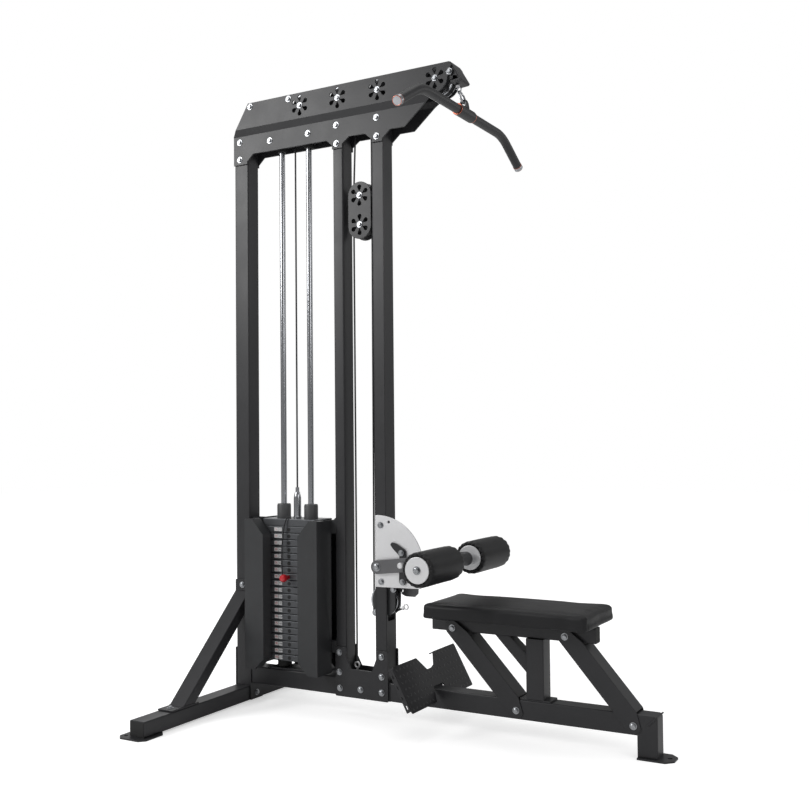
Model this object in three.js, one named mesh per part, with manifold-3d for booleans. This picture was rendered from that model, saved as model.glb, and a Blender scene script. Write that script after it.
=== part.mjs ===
// Lat pulldown and low row machine with a selector weight stack.
// Millimetres, +Z up. The bench points along +X and the machine is symmetric about Y = 0.
// Points below are written from the back face of the rear upright (X = 0); the finished
// group is shifted so that its origin is the middle of the footprint, on the floor.

import * as THREE from 'three';
import { mergeVertices } from 'three/addons/utils/BufferGeometryUtils.js';
import Module from 'manifold-3d';

const wasm = await Module();
wasm.setup();

// ---------------------------------------------------------------- driving dimensions
const GAP = 0.3;                 // clearance left between touching pieces
const TUBE = 60;                 // square section of the rear upright and the base
const WALL = 3;                  // tube wall
const PLATE = 5;                 // gusset, flange and cheek plate
const HALF = TUBE / 2;
const FACE = HALF + GAP;         // |y| where a plate lies on a tube's side

const CROSS_Y = 555;             // half length of the cross foot
const CROSS_TOP = 55;            // top of the cross foot
const BASE_Z = [65, 125];        // base tube and bench beam, bottom and top
const BASE_END = 619;            // base tube's front end, before its flange
const BEAM_END = 1504;           // front face of the bench's leg
const MID_X = [421, 461];        // middle upright
const FRONT_X = [576, 619];      // front upright
const UPRIGHT_TOP = 2005;

const TOP_Z = 2116;              // top edge of the head plates
const BEND_Z = [2002, 2026];     // joggle in the head plates
const JOGGLE = 8;                // how far the upper part of a head plate stands out

const STACK_X = 245;             // centre of the weight stack
const ROD_PITCH = 114;
const ROD_R = 10;
const PITCH = 23;                // one weight plate
const PLATES = 20;
const PICKED = 8;                // plates above the selector pin
const HEAD_Z = [621, 645.5];     // top plate of the stack
const STACK_W = 218, STACK_D = 104;
const SLIT = 1.2;                // visible gap between two plates

const ROPE_R = 3;
const TOP_PULLEY = { groove: 49, rim: 52, half: 14, z: 2071, x: [294, 449, 606, 821] };
const FLOAT = { groove: 36, rim: 40, half: 12, x: 521, z: [1636, 1735] };
const LOW_PULLEY = { groove: 46, rim: 50, half: 12, x: 599, z: 387 };

const PULL_TILT = 20 * Math.PI / 180;   // the bar's cable leans towards the seat
const ROW_TILT = 24 * Math.PI / 180;    // the row cable rises towards the seat
const BAR = { x: 905, z: 1955, r: 15, straight: 289, tip: 434, drop: 81 };

const SEAT = { x: [795, 1335], y: 127, z: [361, 410] };
const SEAT_TUBE = { x: [781, 1322], y: 20, z: [311, 357] };
const POST_X = [1104, 1161];

const PIVOT = [592, 500];        // thigh arm pivot, x and z
const ROLLER = { x: 872, z: 532, r: 53, y: [72, 279], disc: 42.5 };
const QUADRANT_R = [168, 130];   // near and far

const SHROUD = { x: [95, 173.5], y: 104, z: [133, 645], lip: 57, t: 2 };
const ORIGIN_X = 756.5;          // middle of the footprint, from the rear upright's back

// ---------------------------------------------------------------- finishes
const paint = (color, metalness = 0.5, roughness = 0.45) =>
  new THREE.MeshStandardMaterial({ color, metalness, roughness });
const FRAME = paint(0x2c2c2e);
const DARK = paint(0x1a1a1c, 0.3, 0.6);
const PANEL = paint(0x4a4a4c);
const CHROME = paint(0xd8dadc, 1, 0.12);
const ZINC = paint(0xe4e5e6, 0.7, 0.35);
const IRON = paint(0x8b8f96, 0.6, 0.5);
const VINYL = paint(0x141415, 0, 0.55);
const RUBBER = paint(0x101010, 0, 0.8);
const ROPE = paint(0x1c1c1e, 0.1, 0.5);
const RED = paint(0xb5121b, 0, 0.35);
const ARM = paint(0x7c7d80, 0.6, 0.4);

// ---------------------------------------------------------------- solids
function solid(geometry) {
  const g = geometry.index ? geometry.toNonIndexed() : geometry.clone();
  g.deleteAttribute('normal');
  g.deleteAttribute('uv');
  const m = mergeVertices(g, 1e-4);
  return new wasm.Manifold(new wasm.Mesh({
    numProp: 3,
    vertProperties: new Float32Array(m.attributes.position.array),
    triVerts: new Uint32Array(m.index.array),
  }));
}

function geometryOf(manifold) {
  const mesh = manifold.getMesh();
  const g = new THREE.BufferGeometry();
  g.setAttribute('position', new THREE.BufferAttribute(mesh.vertProperties, 3));
  g.setIndex(new THREE.BufferAttribute(mesh.triVerts, 1));
  const flat = g.toNonIndexed();
  flat.computeVertexNormals();
  return flat;
}

const union = (...parts) => parts.flat().reduce((a, b) => a.add(b));
const cut = (body, ...tools) => tools.flat().reduce((a, b) => a.subtract(b), body);

function box(x0, x1, y0, y1, z0, z1) {
  const g = new THREE.BoxGeometry(x1 - x0, y1 - y0, z1 - z0);
  g.translate((x0 + x1) / 2, (y0 + y1) / 2, (z0 + z1) / 2);
  return solid(g);
}

// A rectangular tube between two corners, with one or both ends along AXIS left open.
function boxTube(x, y, z, axis, open = [true, true]) {
  const outer = [x, y, z];
  const inner = outer.map(([a, b], i) =>
    i === axis ? [open[0] ? a - 1 : a + WALL, open[1] ? b + 1 : b - WALL] : [a + WALL, b - WALL]);
  return cut(box(...outer.flat()), box(...inner.flat()));
}

function outline(points) {
  return new THREE.Shape(points.map(([a, b]) => new THREE.Vector2(a, b)));
}

// Shapes drawn in X-Z, thickened from y0 to y1.
function plateXZ(shape, y0, y1) {
  const g = new THREE.ExtrudeGeometry(shape, { depth: y1 - y0, bevelEnabled: false, curveSegments: 6 });
  g.rotateX(Math.PI / 2);
  g.translate(0, y1, 0);
  return solid(g);
}

// Shapes drawn in Y-Z, thickened from x0 to x1.
function plateYZ(shape, x0, x1) {
  const g = new THREE.ExtrudeGeometry(shape, { depth: x1 - x0, bevelEnabled: false, curveSegments: 6 });
  g.applyMatrix4(new THREE.Matrix4().makeBasis(
    new THREE.Vector3(0, 1, 0), new THREE.Vector3(0, 0, 1), new THREE.Vector3(1, 0, 0)));
  g.translate(x0, 0, 0);
  return solid(g);
}

function plateXY(shape, z0, z1) {
  const g = new THREE.ExtrudeGeometry(shape, { depth: z1 - z0, bevelEnabled: false, curveSegments: 6 });
  g.translate(0, 0, z0);
  return solid(g);
}

function rodY(x, z, y0, y1, r, sides = 24) {
  const g = new THREE.CylinderGeometry(r, r, y1 - y0, sides);
  g.translate(x, (y0 + y1) / 2, z);
  return solid(g);
}

function rodZ(x, y, z0, z1, r, sides = 24) {
  const g = new THREE.CylinderGeometry(r, r, z1 - z0, sides);
  g.rotateX(Math.PI / 2);
  g.translate(x, y, (z0 + z1) / 2);
  return solid(g);
}

function rodX(x0, x1, y, z, r, sides = 16) {
  const g = new THREE.CylinderGeometry(r, r, x1 - x0, sides);
  g.rotateZ(Math.PI / 2);
  g.translate((x0 + x1) / 2, y, z);
  return solid(g);
}

// A turned piece: PROFILE holds [radius, height] pairs, turned about a line along Y.
function turnedY(x, z, profile, sides = 32) {
  const g = new THREE.LatheGeometry(profile.map(([r, h]) => new THREE.Vector2(r, h)), sides);
  g.translate(x, 0, z);
  return solid(g);
}

function turnedZ(x, y, profile, sides = 32) {
  const g = new THREE.LatheGeometry(profile.map(([r, h]) => new THREE.Vector2(r, h)), sides);
  g.rotateX(Math.PI / 2);
  g.translate(x, y, 0);
  return solid(g);
}

// A stadium in X-Z: two centres joined with radius r.
function stadium(a, b, r) {
  const turn = Math.atan2(b[1] - a[1], b[0] - a[0]);
  const s = new THREE.Shape();
  s.absarc(b[0], b[1], r, turn - Math.PI / 2, turn + Math.PI / 2, false);
  s.absarc(a[0], a[1], r, turn + Math.PI / 2, turn + 1.5 * Math.PI, false);
  s.closePath();
  return s;
}

const mirrored = (manifold) => {
  const g = geometryOf(manifold);
  g.scale(1, -1, 1);
  const p = g.attributes.position.array;
  for (let i = 0; i < p.length; i += 9) {
    for (let k = 0; k < 3; k += 1) [p[i + k], p[i + 3 + k]] = [p[i + 3 + k], p[i + k]];
  }
  return solid(g);
};

// ---------------------------------------------------------------- frame
function crossFoot() {
  const tube = boxTube([0, TUBE], [-CROSS_Y, CROSS_Y], [PLATE, CROSS_TOP], 1);
  const ears = [-1, 1].map((side) => {
    const s = outline([[-35, 488], [-17, 470], [57, 470], [75, 488], [75, 562], [57, 580], [-17, 580],
      [-35, 562]].map(([x, y]) => [x, side * y]));
    return cut(plateXY(s, 0, PLATE), rodZ(-15, side * 555, -1, PLATE + 1, 6, 12));
  });
  const tie = union(box(-PLATE - GAP, 0, -HALF, HALF, PLATE, CROSS_TOP),
    box(-PLATE - GAP, -GAP, -HALF, HALF, CROSS_TOP - 1, 185));
  return union(tube, ears, tie);
}

const rearUpright = () =>
  boxTube([0, TUBE], [-HALF, HALF], [CROSS_TOP + GAP, UPRIGHT_TOP], 2);

const middleUpright = () =>
  boxTube(MID_X, [-HALF, HALF], [BASE_Z[1] + GAP, UPRIGHT_TOP], 2);

function frontUpright() {
  const slot = box(FRONT_X[0] - 1, FRONT_X[1] + 1, -23, 23, 322, 452);
  return cut(boxTube(FRONT_X, [-HALF, HALF], [BASE_Z[1] + GAP, UPRIGHT_TOP], 2), slot);
}

function baseTube() {
  const start = TUBE + GAP;
  const tube = boxTube([start + 1, BASE_END + 1], [-HALF, HALF], BASE_Z, 0, [false, true]);
  const endPlate = box(start, start + PLATE, -34, 34, 6, 185);
  const flange = box(BASE_END, BASE_END + PLATE, -HALF, HALF, BASE_Z[0], BASE_Z[1]);
  const bore = box(BASE_END - 2, BASE_END + PLATE + 1, -20, 20, BASE_Z[0] + 10, BASE_Z[1] - 10);
  return cut(union(tube, endPlate, flange), bore);
}

// The bench beam turns down at its front end into a leg with a floor plate.
function benchBeam() {
  const x0 = BASE_END + PLATE + 0.6;
  const leg = BEAM_END - TUBE;
  const [z0, z1] = BASE_Z;
  const skin = outline([[x0, z0], [leg, z0], [leg, PLATE - 1], [BEAM_END, PLATE - 1], [BEAM_END, z1 - 8],
    [BEAM_END - 3, z1 - 3], [BEAM_END - 8, z1], [x0, z1]]);
  const hollow = outline([[x0 - 1, z0 + WALL], [leg + WALL, z0 + WALL], [leg + WALL, -1],
    [BEAM_END - WALL, -1], [BEAM_END - WALL, z1 - 10], [BEAM_END - 10, z1 - WALL],
    [x0 - 1, z1 - WALL]]);
  const ear = outline([[1445, -42], [1526, -42], [1548, -20], [1548, 20], [1526, 42], [1445, 42]]);
  const foot = cut(plateXY(ear, 0, PLATE), rodZ(1530, 0, -1, PLATE + 1, 7, 12));
  return cut(union(plateXZ(skin, -HALF, HALF), foot), plateXZ(hollow, WALL - HALF, HALF - WALL));
}

function gusset(side) {
  const s = outline([[421, 63], [624, 63], [624, 226], [582, 226], [580, 199], [563, 156], [483, 157],
    [463, 194], [463, 226], [421, 226]]);
  const near = plateXZ(s, -FACE - PLATE, -FACE);
  return side < 0 ? near : mirrored(near);
}

// Six teardrops round an axle.
function petals(x, z, y0, y1) {
  return Array.from({ length: 6 }, (_, i) => {
    const a = Math.PI / 2 + i * Math.PI / 3;
    const [c, s] = [Math.cos(a), Math.sin(a)];
    const at = (r, w) => [x + r * c - w * s, z + r * s + w * c];
    return plateXZ(outline([at(14, 0), at(29, -5.5), at(35, 0), at(29, 5.5)]), y0, y1);
  });
}

// The two long head plates that hold the uprights' tops and the four top pulleys.
function topPlate(side) {
  const [z0, z1] = BEND_Z;
  const a = -FACE, b = -FACE - JOGGLE;
  const section = outline([[a, 1890], [a, z0], [b, z1], [b, TOP_Z + 5], [b - PLATE, TOP_Z + 5],
    [b - PLATE, z1], [a - PLATE, z0], [a - PLATE, 1890]]);
  const edge = new THREE.Shape();
  edge.moveTo(0, 1901);
  [[60, 1901], [60, 1910], [86, 1934], [398, 1934], [421, 1914], [421, 1901], [462, 1901], [462, 1915],
    [489, 1935], [551, 1935], [579, 1912], [579, 1901], [619, 1901], [619, 1909], [649, 1935],
    [704, 1935], [789, 2008], [806, 2022], [821, 2025]].forEach(([x, z]) => edge.lineTo(x, z));
  edge.absarc(821, 2071, 46, -Math.PI / 2, -0.05, false);
  [[871, 2072], [881, TOP_Z - 10], [873, TOP_Z], [70, TOP_Z - 1], [0, 2004]]
    .forEach(([x, z]) => edge.lineTo(x, z));
  const body = plateYZ(section, -5, 900).intersect(plateXZ(edge, -60, -20));
  const holes = TOP_PULLEY.x.map((x) => [...petals(x, TOP_PULLEY.z, -60, -20),
    rodY(x, TOP_PULLEY.z, -60, -20, 6, 12)]);
  const near = cut(body, holes.flat());
  return side < 0 ? near : mirrored(near);
}

function rearBrace(side) {
  const y = -FACE - PLATE;
  const z = CROSS_TOP + GAP + PLATE;
  const tube = outline([[y + 1, 389], [-378, z - 1], [-318, z - 1], [y + 1, 331]]);
  const bore = outline([[y + 1 - WALL, 384], [-374, z - 9], [-322, z - 9], [y + 1 - WALL, 336]]);
  const near = cut(union(plateYZ(tube, 0, TUBE), box(0, TUBE, y, -FACE, 318, 425),
    box(0, TUBE, -432, -300, z - PLATE, z)), plateYZ(bore, WALL, TUBE - WALL));
  return side < 0 ? near : mirrored(near);
}

// Tie strap at the head plates' front end; the bar's cable runs through its foot.
function cableStop() {
  const strap = outline([[862, TOP_Z - 4], [862, TOP_Z + 1], [874, TOP_Z + 1], [908, 2059],
    [905, 2053.5], [874, 2051], [872, 2056], [901, 2059], [870, TOP_Z - 4]]);
  const cheek = outline([[862, 2112], [874, 2112], [900, 2068], [874, 2072], [868, 2085], [862, 2100]]);
  const hole = rodZ(0, 0, -30, 30, 6, 12).rotate([0, -PULL_TILT * 180 / Math.PI, 0]);
  const [x, z] = alongPull(33);
  return cut(union(plateXZ(strap, -36, 36), plateXZ(cheek, -37.8, -33), plateXZ(cheek, 33, 37.8)),
    hole.translate([x, 0, z]), rodY(874, 2083, -50, 50, 6, 12));
}

// ---------------------------------------------------------------- weight stack
const rodX0 = STACK_X - ROD_PITCH / 2, rodX1 = STACK_X + ROD_PITCH / 2;

const guideRod = (x) => turnedZ(x, 0, [[0, 132.5], [ROD_R, 132.5], [ROD_R, 1930], [15, 1930],
  [15, 1949], [0, 1949]], 16);

const stackBase = () => box(STACK_X - 95, STACK_X + 95, -HALF, HALF, BASE_Z[1] + GAP, 132);

const bumper = (x) => cut(rodZ(x, 0, 132.4, 160.6, 25, 16), rodZ(x, 0, 130, 165, ROD_R + 0.6, 16));

function rodTopBracket() {
  const y = HALF - GAP;
  const tray = union(box(150, 340, -y, y, 1950, 1955), box(150, 340, -y, -y + PLATE, 1950, 1990),
    box(150, 340, y - PLATE, y, 1950, 1990));
  return cut(tray, rodZ(STACK_X, 0, 1940, 1960, 12, 16));
}

function stackHoles(z0, z1) {
  return [rodZ(rodX0, 0, z0, z1, ROD_R + 1, 16), rodZ(rodX1, 0, z0, z1, ROD_R + 1, 16),
    rodZ(STACK_X, 0, z0, z1, 9.6, 12)];
}

function headPlate() {
  const [z0, z1] = HEAD_Z;
  const slab = box(STACK_X - STACK_W / 2, STACK_X + STACK_W / 2, -STACK_D / 2, STACK_D / 2, z0, z1);
  const guides = [rodX0, rodX1].map((x) => rodZ(x, 0, z1 - 1, 695, 24, 20));
  return cut(union(slab, guides), stackHoles(z0 - 5, 700));
}

// Rows of plates; each keeps its slit, and a core behind the slits holds the block together.
function plateBlock(first, last) {
  const top = HEAD_Z[0] - first * PITCH, bottom = HEAD_Z[0] - last * PITCH;
  const w = STACK_W / 2, d = STACK_D / 2;
  const slabs = [];
  for (let i = first; i < last; i += 1) {
    const z = HEAD_Z[0] - i * PITCH;
    slabs.push(box(STACK_X - w, STACK_X + w, -d, d, z - PITCH, z - SLIT));
  }
  const core = box(STACK_X - w + 4, STACK_X + w - 4, -d + 4, d - 4, bottom, top - SLIT);
  return cut(union(core, slabs), stackHoles(bottom - 5, top + 5));
}

const pinZ = HEAD_Z[0] - (PICKED - 0.5) * PITCH - SLIT / 2;
const pinBore = () => rodY(STACK_X, pinZ, -60, 8, 5, 12);

function selectorStem() {
  const rod = rodZ(STACK_X, 0, HEAD_Z[0] - PLATES * PITCH + 2, 648, 9, 12);
  const clevis = turnedZ(STACK_X, 0, [[0, 646], [14, 646], [14, 716], [9, 734], [6.5, 738], [6.5, 752],
    [0, 752]], 16);
  return cut(union(rod, clevis), pinBore());
}

function selectorPin() {
  return turnedY(STACK_X, pinZ, [[0, -97], [9, -95], [11, -80], [7, -70], [6.5, -56], [4.2, -55],
    [4.2, 6], [0, 6]], 16);
}

// ---------------------------------------------------------------- shroud
// Two trays, near and far, with one wall each, tied together by brackets on the upright.
function shroud(front) {
  const { y, z: [z0, z1], lip, t } = SHROUD;
  const [a, b] = SHROUD.x;
  const tray = (o) => outline([[a + o, z0 + o], [b - 40 - o * 0.4, z0 + o], [b - o, z0 + 40 + o * 0.4],
    [b - o, z1 - 52 - o * 0.4], [b - 46 - o * 0.4, z1 - o], [a + o, z1 - o]]);
  const near = union(
    cut(plateXZ(tray(0), -y, -lip), plateXZ(tray(t), -y + t, -lip + 1)),
    box(a, a + t, -y, -18, z0, z1));
  const ties = [[600, 645], [200, 240]].flatMap(([p, q]) => [
    box(a, a + t, -19, 19, p, q),
    box(TUBE + GAP, a + 1, -18, -15, p, q), box(TUBE + GAP, a + 1, 15, 18, p, q),
    box(TUBE + GAP, TUBE + GAP + t, -18, 18, p, q)]);
  const rear = union(near, mirrored(near), ties);
  if (!front) return rear;
  const frontTies = [[600, 645], [200, 240]].flatMap(([p, q]) => {
    const x = 2 * STACK_X - a;
    return [box(x - t, x, -19, 19, p, q),
      box(x - 1, MID_X[0] - GAP, -18, -15, p, q), box(x - 1, MID_X[0] - GAP, 15, 18, p, q),
      box(MID_X[0] - GAP - t, MID_X[0] - GAP, -18, 18, p, q)];
  });
  const flip = geometryOf(union(near, mirrored(near)));
  flip.rotateZ(Math.PI);
  flip.translate(2 * STACK_X, 0, 0);
  return union(solid(flip), frontTies);
}

// ---------------------------------------------------------------- pulleys and cables
function pulley(p, x, z, hub) {
  const g = p.groove - ROPE_R - 1.2;
  const w = p.half;
  return turnedY(x, z, [[6.6, -hub], [12, -hub], [12, -w], [p.rim, -w], [g, -3.6], [g, 3.6],
    [p.rim, w], [12, w], [12, hub], [6.6, hub], [6.6, -hub]], 20);
}

function floatBlock() {
  const [lo, hi] = FLOAT.z;
  const s = stadium([FLOAT.x, lo - 3.5], [FLOAT.x, hi + 1.5], 44.5);
  const near = cut(plateXZ(s, -22, -17),
    rodY(FLOAT.x, lo, -30, -10, 6, 12), rodY(FLOAT.x, hi, -30, -10, 6, 12));
  const z = (lo + hi) / 2;
  return union(near, mirrored(near), box(FLOAT.x - 25, FLOAT.x + 25, -18, 18, z - 4, z + 4));
}

// A cable through a list of points in the plane Y = 0, one section at each.
class Route extends THREE.Curve {
  constructor(points) {
    super();
    this.points = points.map(([x, z]) => new THREE.Vector3(x, 0, z));
  }

  getPoint(t, target = new THREE.Vector3()) {
    const u = t * (this.points.length - 1);
    const i = Math.min(Math.floor(u + 1e-9), this.points.length - 2);
    return target.lerpVectors(this.points[i], this.points[i + 1], u - i);
  }

  getPointAt(u, target) {
    return this.getPoint(u, target);
  }

  getTangentAt(u, target = new THREE.Vector3()) {
    const i = Math.round(u * (this.points.length - 1));
    const before = this.points[Math.max(i - 1, 0)];
    const after = this.points[Math.min(i + 1, this.points.length - 1)];
    return target.subVectors(after, before).normalize();
  }
}

function rope(points) {
  const ring = new THREE.Shape();
  ring.absarc(0, 0, ROPE_R, 0, 2 * Math.PI, false);
  const g = new THREE.ExtrudeGeometry(ring, { steps: points.length - 1,
    extrudePath: new Route(points), bevelEnabled: false, curveSegments: 4 });
  return solid(g);
}

// Points on a circle, from one angle to another in degrees.
function around(x, z, r, from, to) {
  const n = Math.max(1, Math.round(Math.abs(to - from) / 15));
  return Array.from({ length: n + 1 }, (_, i) => {
    const a = (from + (to - from) * i / n) * Math.PI / 180;
    return [x + r * Math.cos(a), z + r * Math.sin(a)];
  });
}

// Points on the bar's cable, measured from where it leaves the front pulley.
function alongPull(t) {
  const [c, s] = [Math.cos(PULL_TILT), Math.sin(PULL_TILT)];
  return [TOP_PULLEY.x[3] + TOP_PULLEY.groove * c + t * s, TOP_PULLEY.z + TOP_PULLEY.groove * s - t * c];
}

// Points on the row cable, measured from where it leaves the low pulley.
function alongRow(t) {
  const [c, s] = [Math.cos(ROW_TILT), Math.sin(ROW_TILT)];
  return [LOW_PULLEY.x + LOW_PULLEY.groove * s + t * c, LOW_PULLEY.z - LOW_PULLEY.groove * c + t * s];
}

function lowPulleyGuard() {
  const x0 = 560, x1 = 645, z0 = 338, z1 = 436;
  const s = new THREE.Shape();
  const corner = (x, z, r, quarter) => s.absarc(x, z, r, (quarter - 1) * Math.PI / 2,
    quarter * Math.PI / 2, false);
  corner(x1 - 40, z0 + 40, 40, 0);
  corner(x1 - 10, z1 - 10, 10, 1);
  corner(x0 + 40, z1 - 40, 40, 2);
  corner(x0 + 10, z0 + 10, 10, 3);
  const near = cut(plateXZ(s, -20, -17), rodY(LOW_PULLEY.x, LOW_PULLEY.z, -30, -10, 6, 12));
  const bolts = [[567, 344], [638, 430]].map(([x, z]) => rodY(x, z, -18, 18, 3, 8));
  return union(near, mirrored(near), bolts);
}

function anchorEye() {
  const x = FLOAT.x - FLOAT.groove;
  const ring = cut(rodY(x, 165, -4, 4, 12, 20), rodY(x, 165, -6, 6, 6, 16));
  return union(ring, rodZ(x, 0, 131, 156, 4, 12), rodZ(x, 0, BASE_Z[1] + GAP, 132, 10, 6));
}

// ---------------------------------------------------------------- lat bar and fittings
// The last piece of a cable, with its pressed stop; POINT gives places along the cable.
function cableEnd(point, tilt, length) {
  const [x, z] = point(0.5);
  const n = length;
  return turnedZ(0, 0, [[0, 0], [ROPE_R, 0], [ROPE_R, n - 6], [6.5, n - 5], [6.5, n - 1], [5, n],
    [0, n]], 12).rotate([0, tilt, 0]).translate([x, 0, z]);
}

const latCableEnd = () => cableEnd(alongPull, 180 - PULL_TILT * 180 / Math.PI, 46.5);

function rowCableEnd() {
  const [x, z] = alongRow(62);
  const eye = cut(rodY(x, z, -4, 4, 10, 16), rodY(x, z, -5, 5, 5.6, 12));
  return union(cableEnd((t) => alongRow(t + 20), 90 - ROW_TILT * 180 / Math.PI, 34), eye);
}

// Swivel hook: an eye that turns on the cable's stop, and the long link that hangs in it.
function carabiner() {
  const r = 3.2, w = 14, from = alongPull(64.4), to = alongPull(107.6);
  const long = Math.hypot(to[0] - from[0], to[1] - from[1]) / 2 - w;
  const ring = (radius) => {
    const s = new THREE.Shape();
    s.absarc(0, long, radius, 0, Math.PI, false);
    s.absarc(0, -long, radius, Math.PI, 2 * Math.PI, false);
    s.closePath();
    return s;
  };
  const link = cut(plateYZ(ring(w + r), -r, r), plateYZ(ring(w - r), -r - 1, r + 1));
  const eye = cut(rodY(0, long + w + 7, -4, 4, 9, 16), rodY(0, long + w + 7, -6, 6, 5.6, 8));
  return union(link, eye).rotate([0, -PULL_TILT * 180 / Math.PI, 0])
    .translate([(from[0] + to[0]) / 2, 0, (from[1] + to[1]) / 2]);
}

function latBar() {
  const { x, z, r, straight, tip, drop } = BAR;
  const points = [[-tip, -drop], [-straight - 14, -6.5], [-straight + 22, 0], [straight - 22, 0],
    [straight + 14, -6.5], [tip, -drop]];
  const bends = points.map(([y, h]) => new THREE.Vector3(x, y, z + h));
  const bar = union(bends.slice(1).map((b, i) => strut(bends[i], b, r)),
    bends.slice(1, -1).map((b) => ball(b, r)));
  const sleeve = rodY(x, z, -50, 50, 19, 16);
  const [hx, hz] = alongPull(109);
  const lug = plateXZ(outline([[x - 17, z + 10], [x + 17, z + 10], [hx + 14, hz], [hx + 9, hz + 11],
    [hx - 4, hz + 14], [hx - 12, hz + 8], [hx - 14, hz]]), -5, 5);
  return cut(union(bar, sleeve, lug), rodY(hx, hz, -10, 10, 7.8, 16));
}

// A round bar between two points, and the ball that rounds a bend of it.
function strut(a, b, r, sides = 12) {
  const g = new THREE.CylinderGeometry(r, r, a.distanceTo(b), sides);
  g.applyQuaternion(new THREE.Quaternion().setFromUnitVectors(
    new THREE.Vector3(0, 1, 0), b.clone().sub(a).normalize()));
  g.translate(...a.clone().add(b).multiplyScalar(0.5).toArray());
  return solid(g);
}

function ball(p, r) {
  const g = new THREE.SphereGeometry(r, 12, 6);
  g.rotateX(Math.PI / 2);
  g.translate(p.x, p.y, p.z);
  return solid(g);
}

// ---------------------------------------------------------------- thigh holder
function quadrant(side) {
  const [px, pz] = PIVOT;
  const s = new THREE.Shape();
  const r = QUADRANT_R[side < 0 ? 0 : 1];
  s.moveTo(580, 434);
  s.lineTo(px + Math.sqrt(r * r - 63 * 63), pz - 63);
  s.absarc(px, pz, r, -Math.asin(63 / r), 94 * Math.PI / 180, false);
  const y0 = side < 0 ? -FACE - PLATE : FACE;
  const y1 = side < 0 ? -FACE : FACE + PLATE;
  let body = plateXZ(s, y0, y1);
  const hole = (r, deg, size) => rodY(px + r * Math.cos(deg * Math.PI / 180),
    pz + r * Math.sin(deg * Math.PI / 180), y0 - 5, y1 + 5, size, 12);
  if (side > 0) {
    body = union(body, plateXZ(outline([[640, 440], [640, 404], [655, 399], [690, 399], [702, 410],
      [704, 440]]), y0, y1));
    return cut(body, [20, 33, 46, 59].map((deg) => hole(96.5, deg, 6)), hole(97, -59, 5));
  }
  return cut(body, hole(152, 75, 5), hole(96.5, 6.5, 6));
}

function thighArm() {
  const [px, pz] = PIVOT;
  const s = stadium([px, pz], [ROLLER.x, ROLLER.z], 22.5);
  const near = cut(plateXZ(s, -47, -42), rodY(px, pz, -60, -30, 6.3, 12),
    rodY(px + 96.5 * Math.cos(0.1135), pz + 96.5 * Math.sin(0.1135), -60, -30, 6.5, 16));
  const hub = rodY(ROLLER.x, ROLLER.z, -43, 43, 20, 20);
  return cut(union(near, mirrored(near), hub), rodY(ROLLER.x, ROLLER.z, -60, 60, 12.9, 20));
}

function rollerShaft() {
  const { y: [a, b], disc } = ROLLER;
  return turnedY(ROLLER.x, ROLLER.z, [[0, -b - 6], [disc, -b - 6], [disc, -b - 1], [12.5, -b - 1],
    [12.5, -a + 1], [disc, -a + 1], [disc, -a + 5], [12.5, -a + 5], [12.5, a - 5], [disc, a - 5],
    [disc, a - 1], [12.5, a - 1], [12.5, b + 1], [disc, b + 1], [disc, b + 6], [0, b + 6]], 20);
}

function foamRoller(side) {
  const { y: [a, b], r, x, z } = ROLLER;
  const body = turnedY(x, z, [[13, a], [r - 8, a], [r, a + 8], [r, b - 8], [r - 8, b], [13, b], [13, a]], 20);
  return side > 0 ? body : mirrored(body);
}

// Lever that frees the arm; it lies between the near arm and the quadrant.
function latchHandle() {
  const s = outline([[646, 583], [640, 574], [650, 562], [674, 540], [672, 455], [679, 446], [690, 446],
    [697, 455], [697, 556], [690, 563], [662, 579]]);
  return cut(union(plateXZ(s, -41.7, -37.7), rodY(684, 454, -50, -40, 7, 6)),
    rodY(PIVOT[0] + 96.5 * Math.cos(0.1135), PIVOT[1] + 96.5 * Math.sin(0.1135), -60, -30, 7, 12));
}

function popPin() {
  const x = PIVOT[0] + 96.5 * Math.cos(0.1135), z = PIVOT[1] + 96.5 * Math.sin(0.1135);
  return turnedY(x, z, [[0, -66], [8, -65], [10, -62], [10, -56], [8.5, -54], [8.5, -47.4], [5.5, -47.4],
    [5.5, -35.7], [0, -35.7]], 16);
}

// ---------------------------------------------------------------- seat and foot plate
function seatFrame() {
  const { x, y, z } = SEAT_TUBE;
  const foot = BASE_Z[1] + GAP;
  const tube = box(...x, -y, y, ...z);
  const post = box(...POST_X, -29, 29, foot, z[0]);
  const flange = box(POST_X[0] - 22, POST_X[1] + 22, -29, 29, foot, foot + PLATE);
  const saddles = [[830, 880], [1240, 1290]].map(([a, b]) => box(a, b, -95, 95, z[1] - 1, 360.4));
  const hollow = [box(x[0] - 1, x[1] + 1, WALL - y, y - WALL, z[0] + WALL, z[1] - WALL),
    box(POST_X[0] + WALL, POST_X[1] - WALL, WALL - 29, 29 - WALL, foot - 1, z[0] - WALL)];
  const cheek = outline([[1000, z[0] + 1], [1046, z[0] + 1], [POST_X[0] + 1, 258], [POST_X[0] + 1, 204]]);
  const web = outline([[1044, z[0] + 1], [1048, z[0] + 1], [POST_X[0] + 1, 260], [POST_X[0] + 1, 256]]);
  const knee = union(plateXZ(cheek, -y, WALL - y), plateXZ(cheek, y - WALL, y), plateXZ(web, -y, y));
  return union(cut(union(tube, post, flange, saddles), hollow), knee);
}

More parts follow.
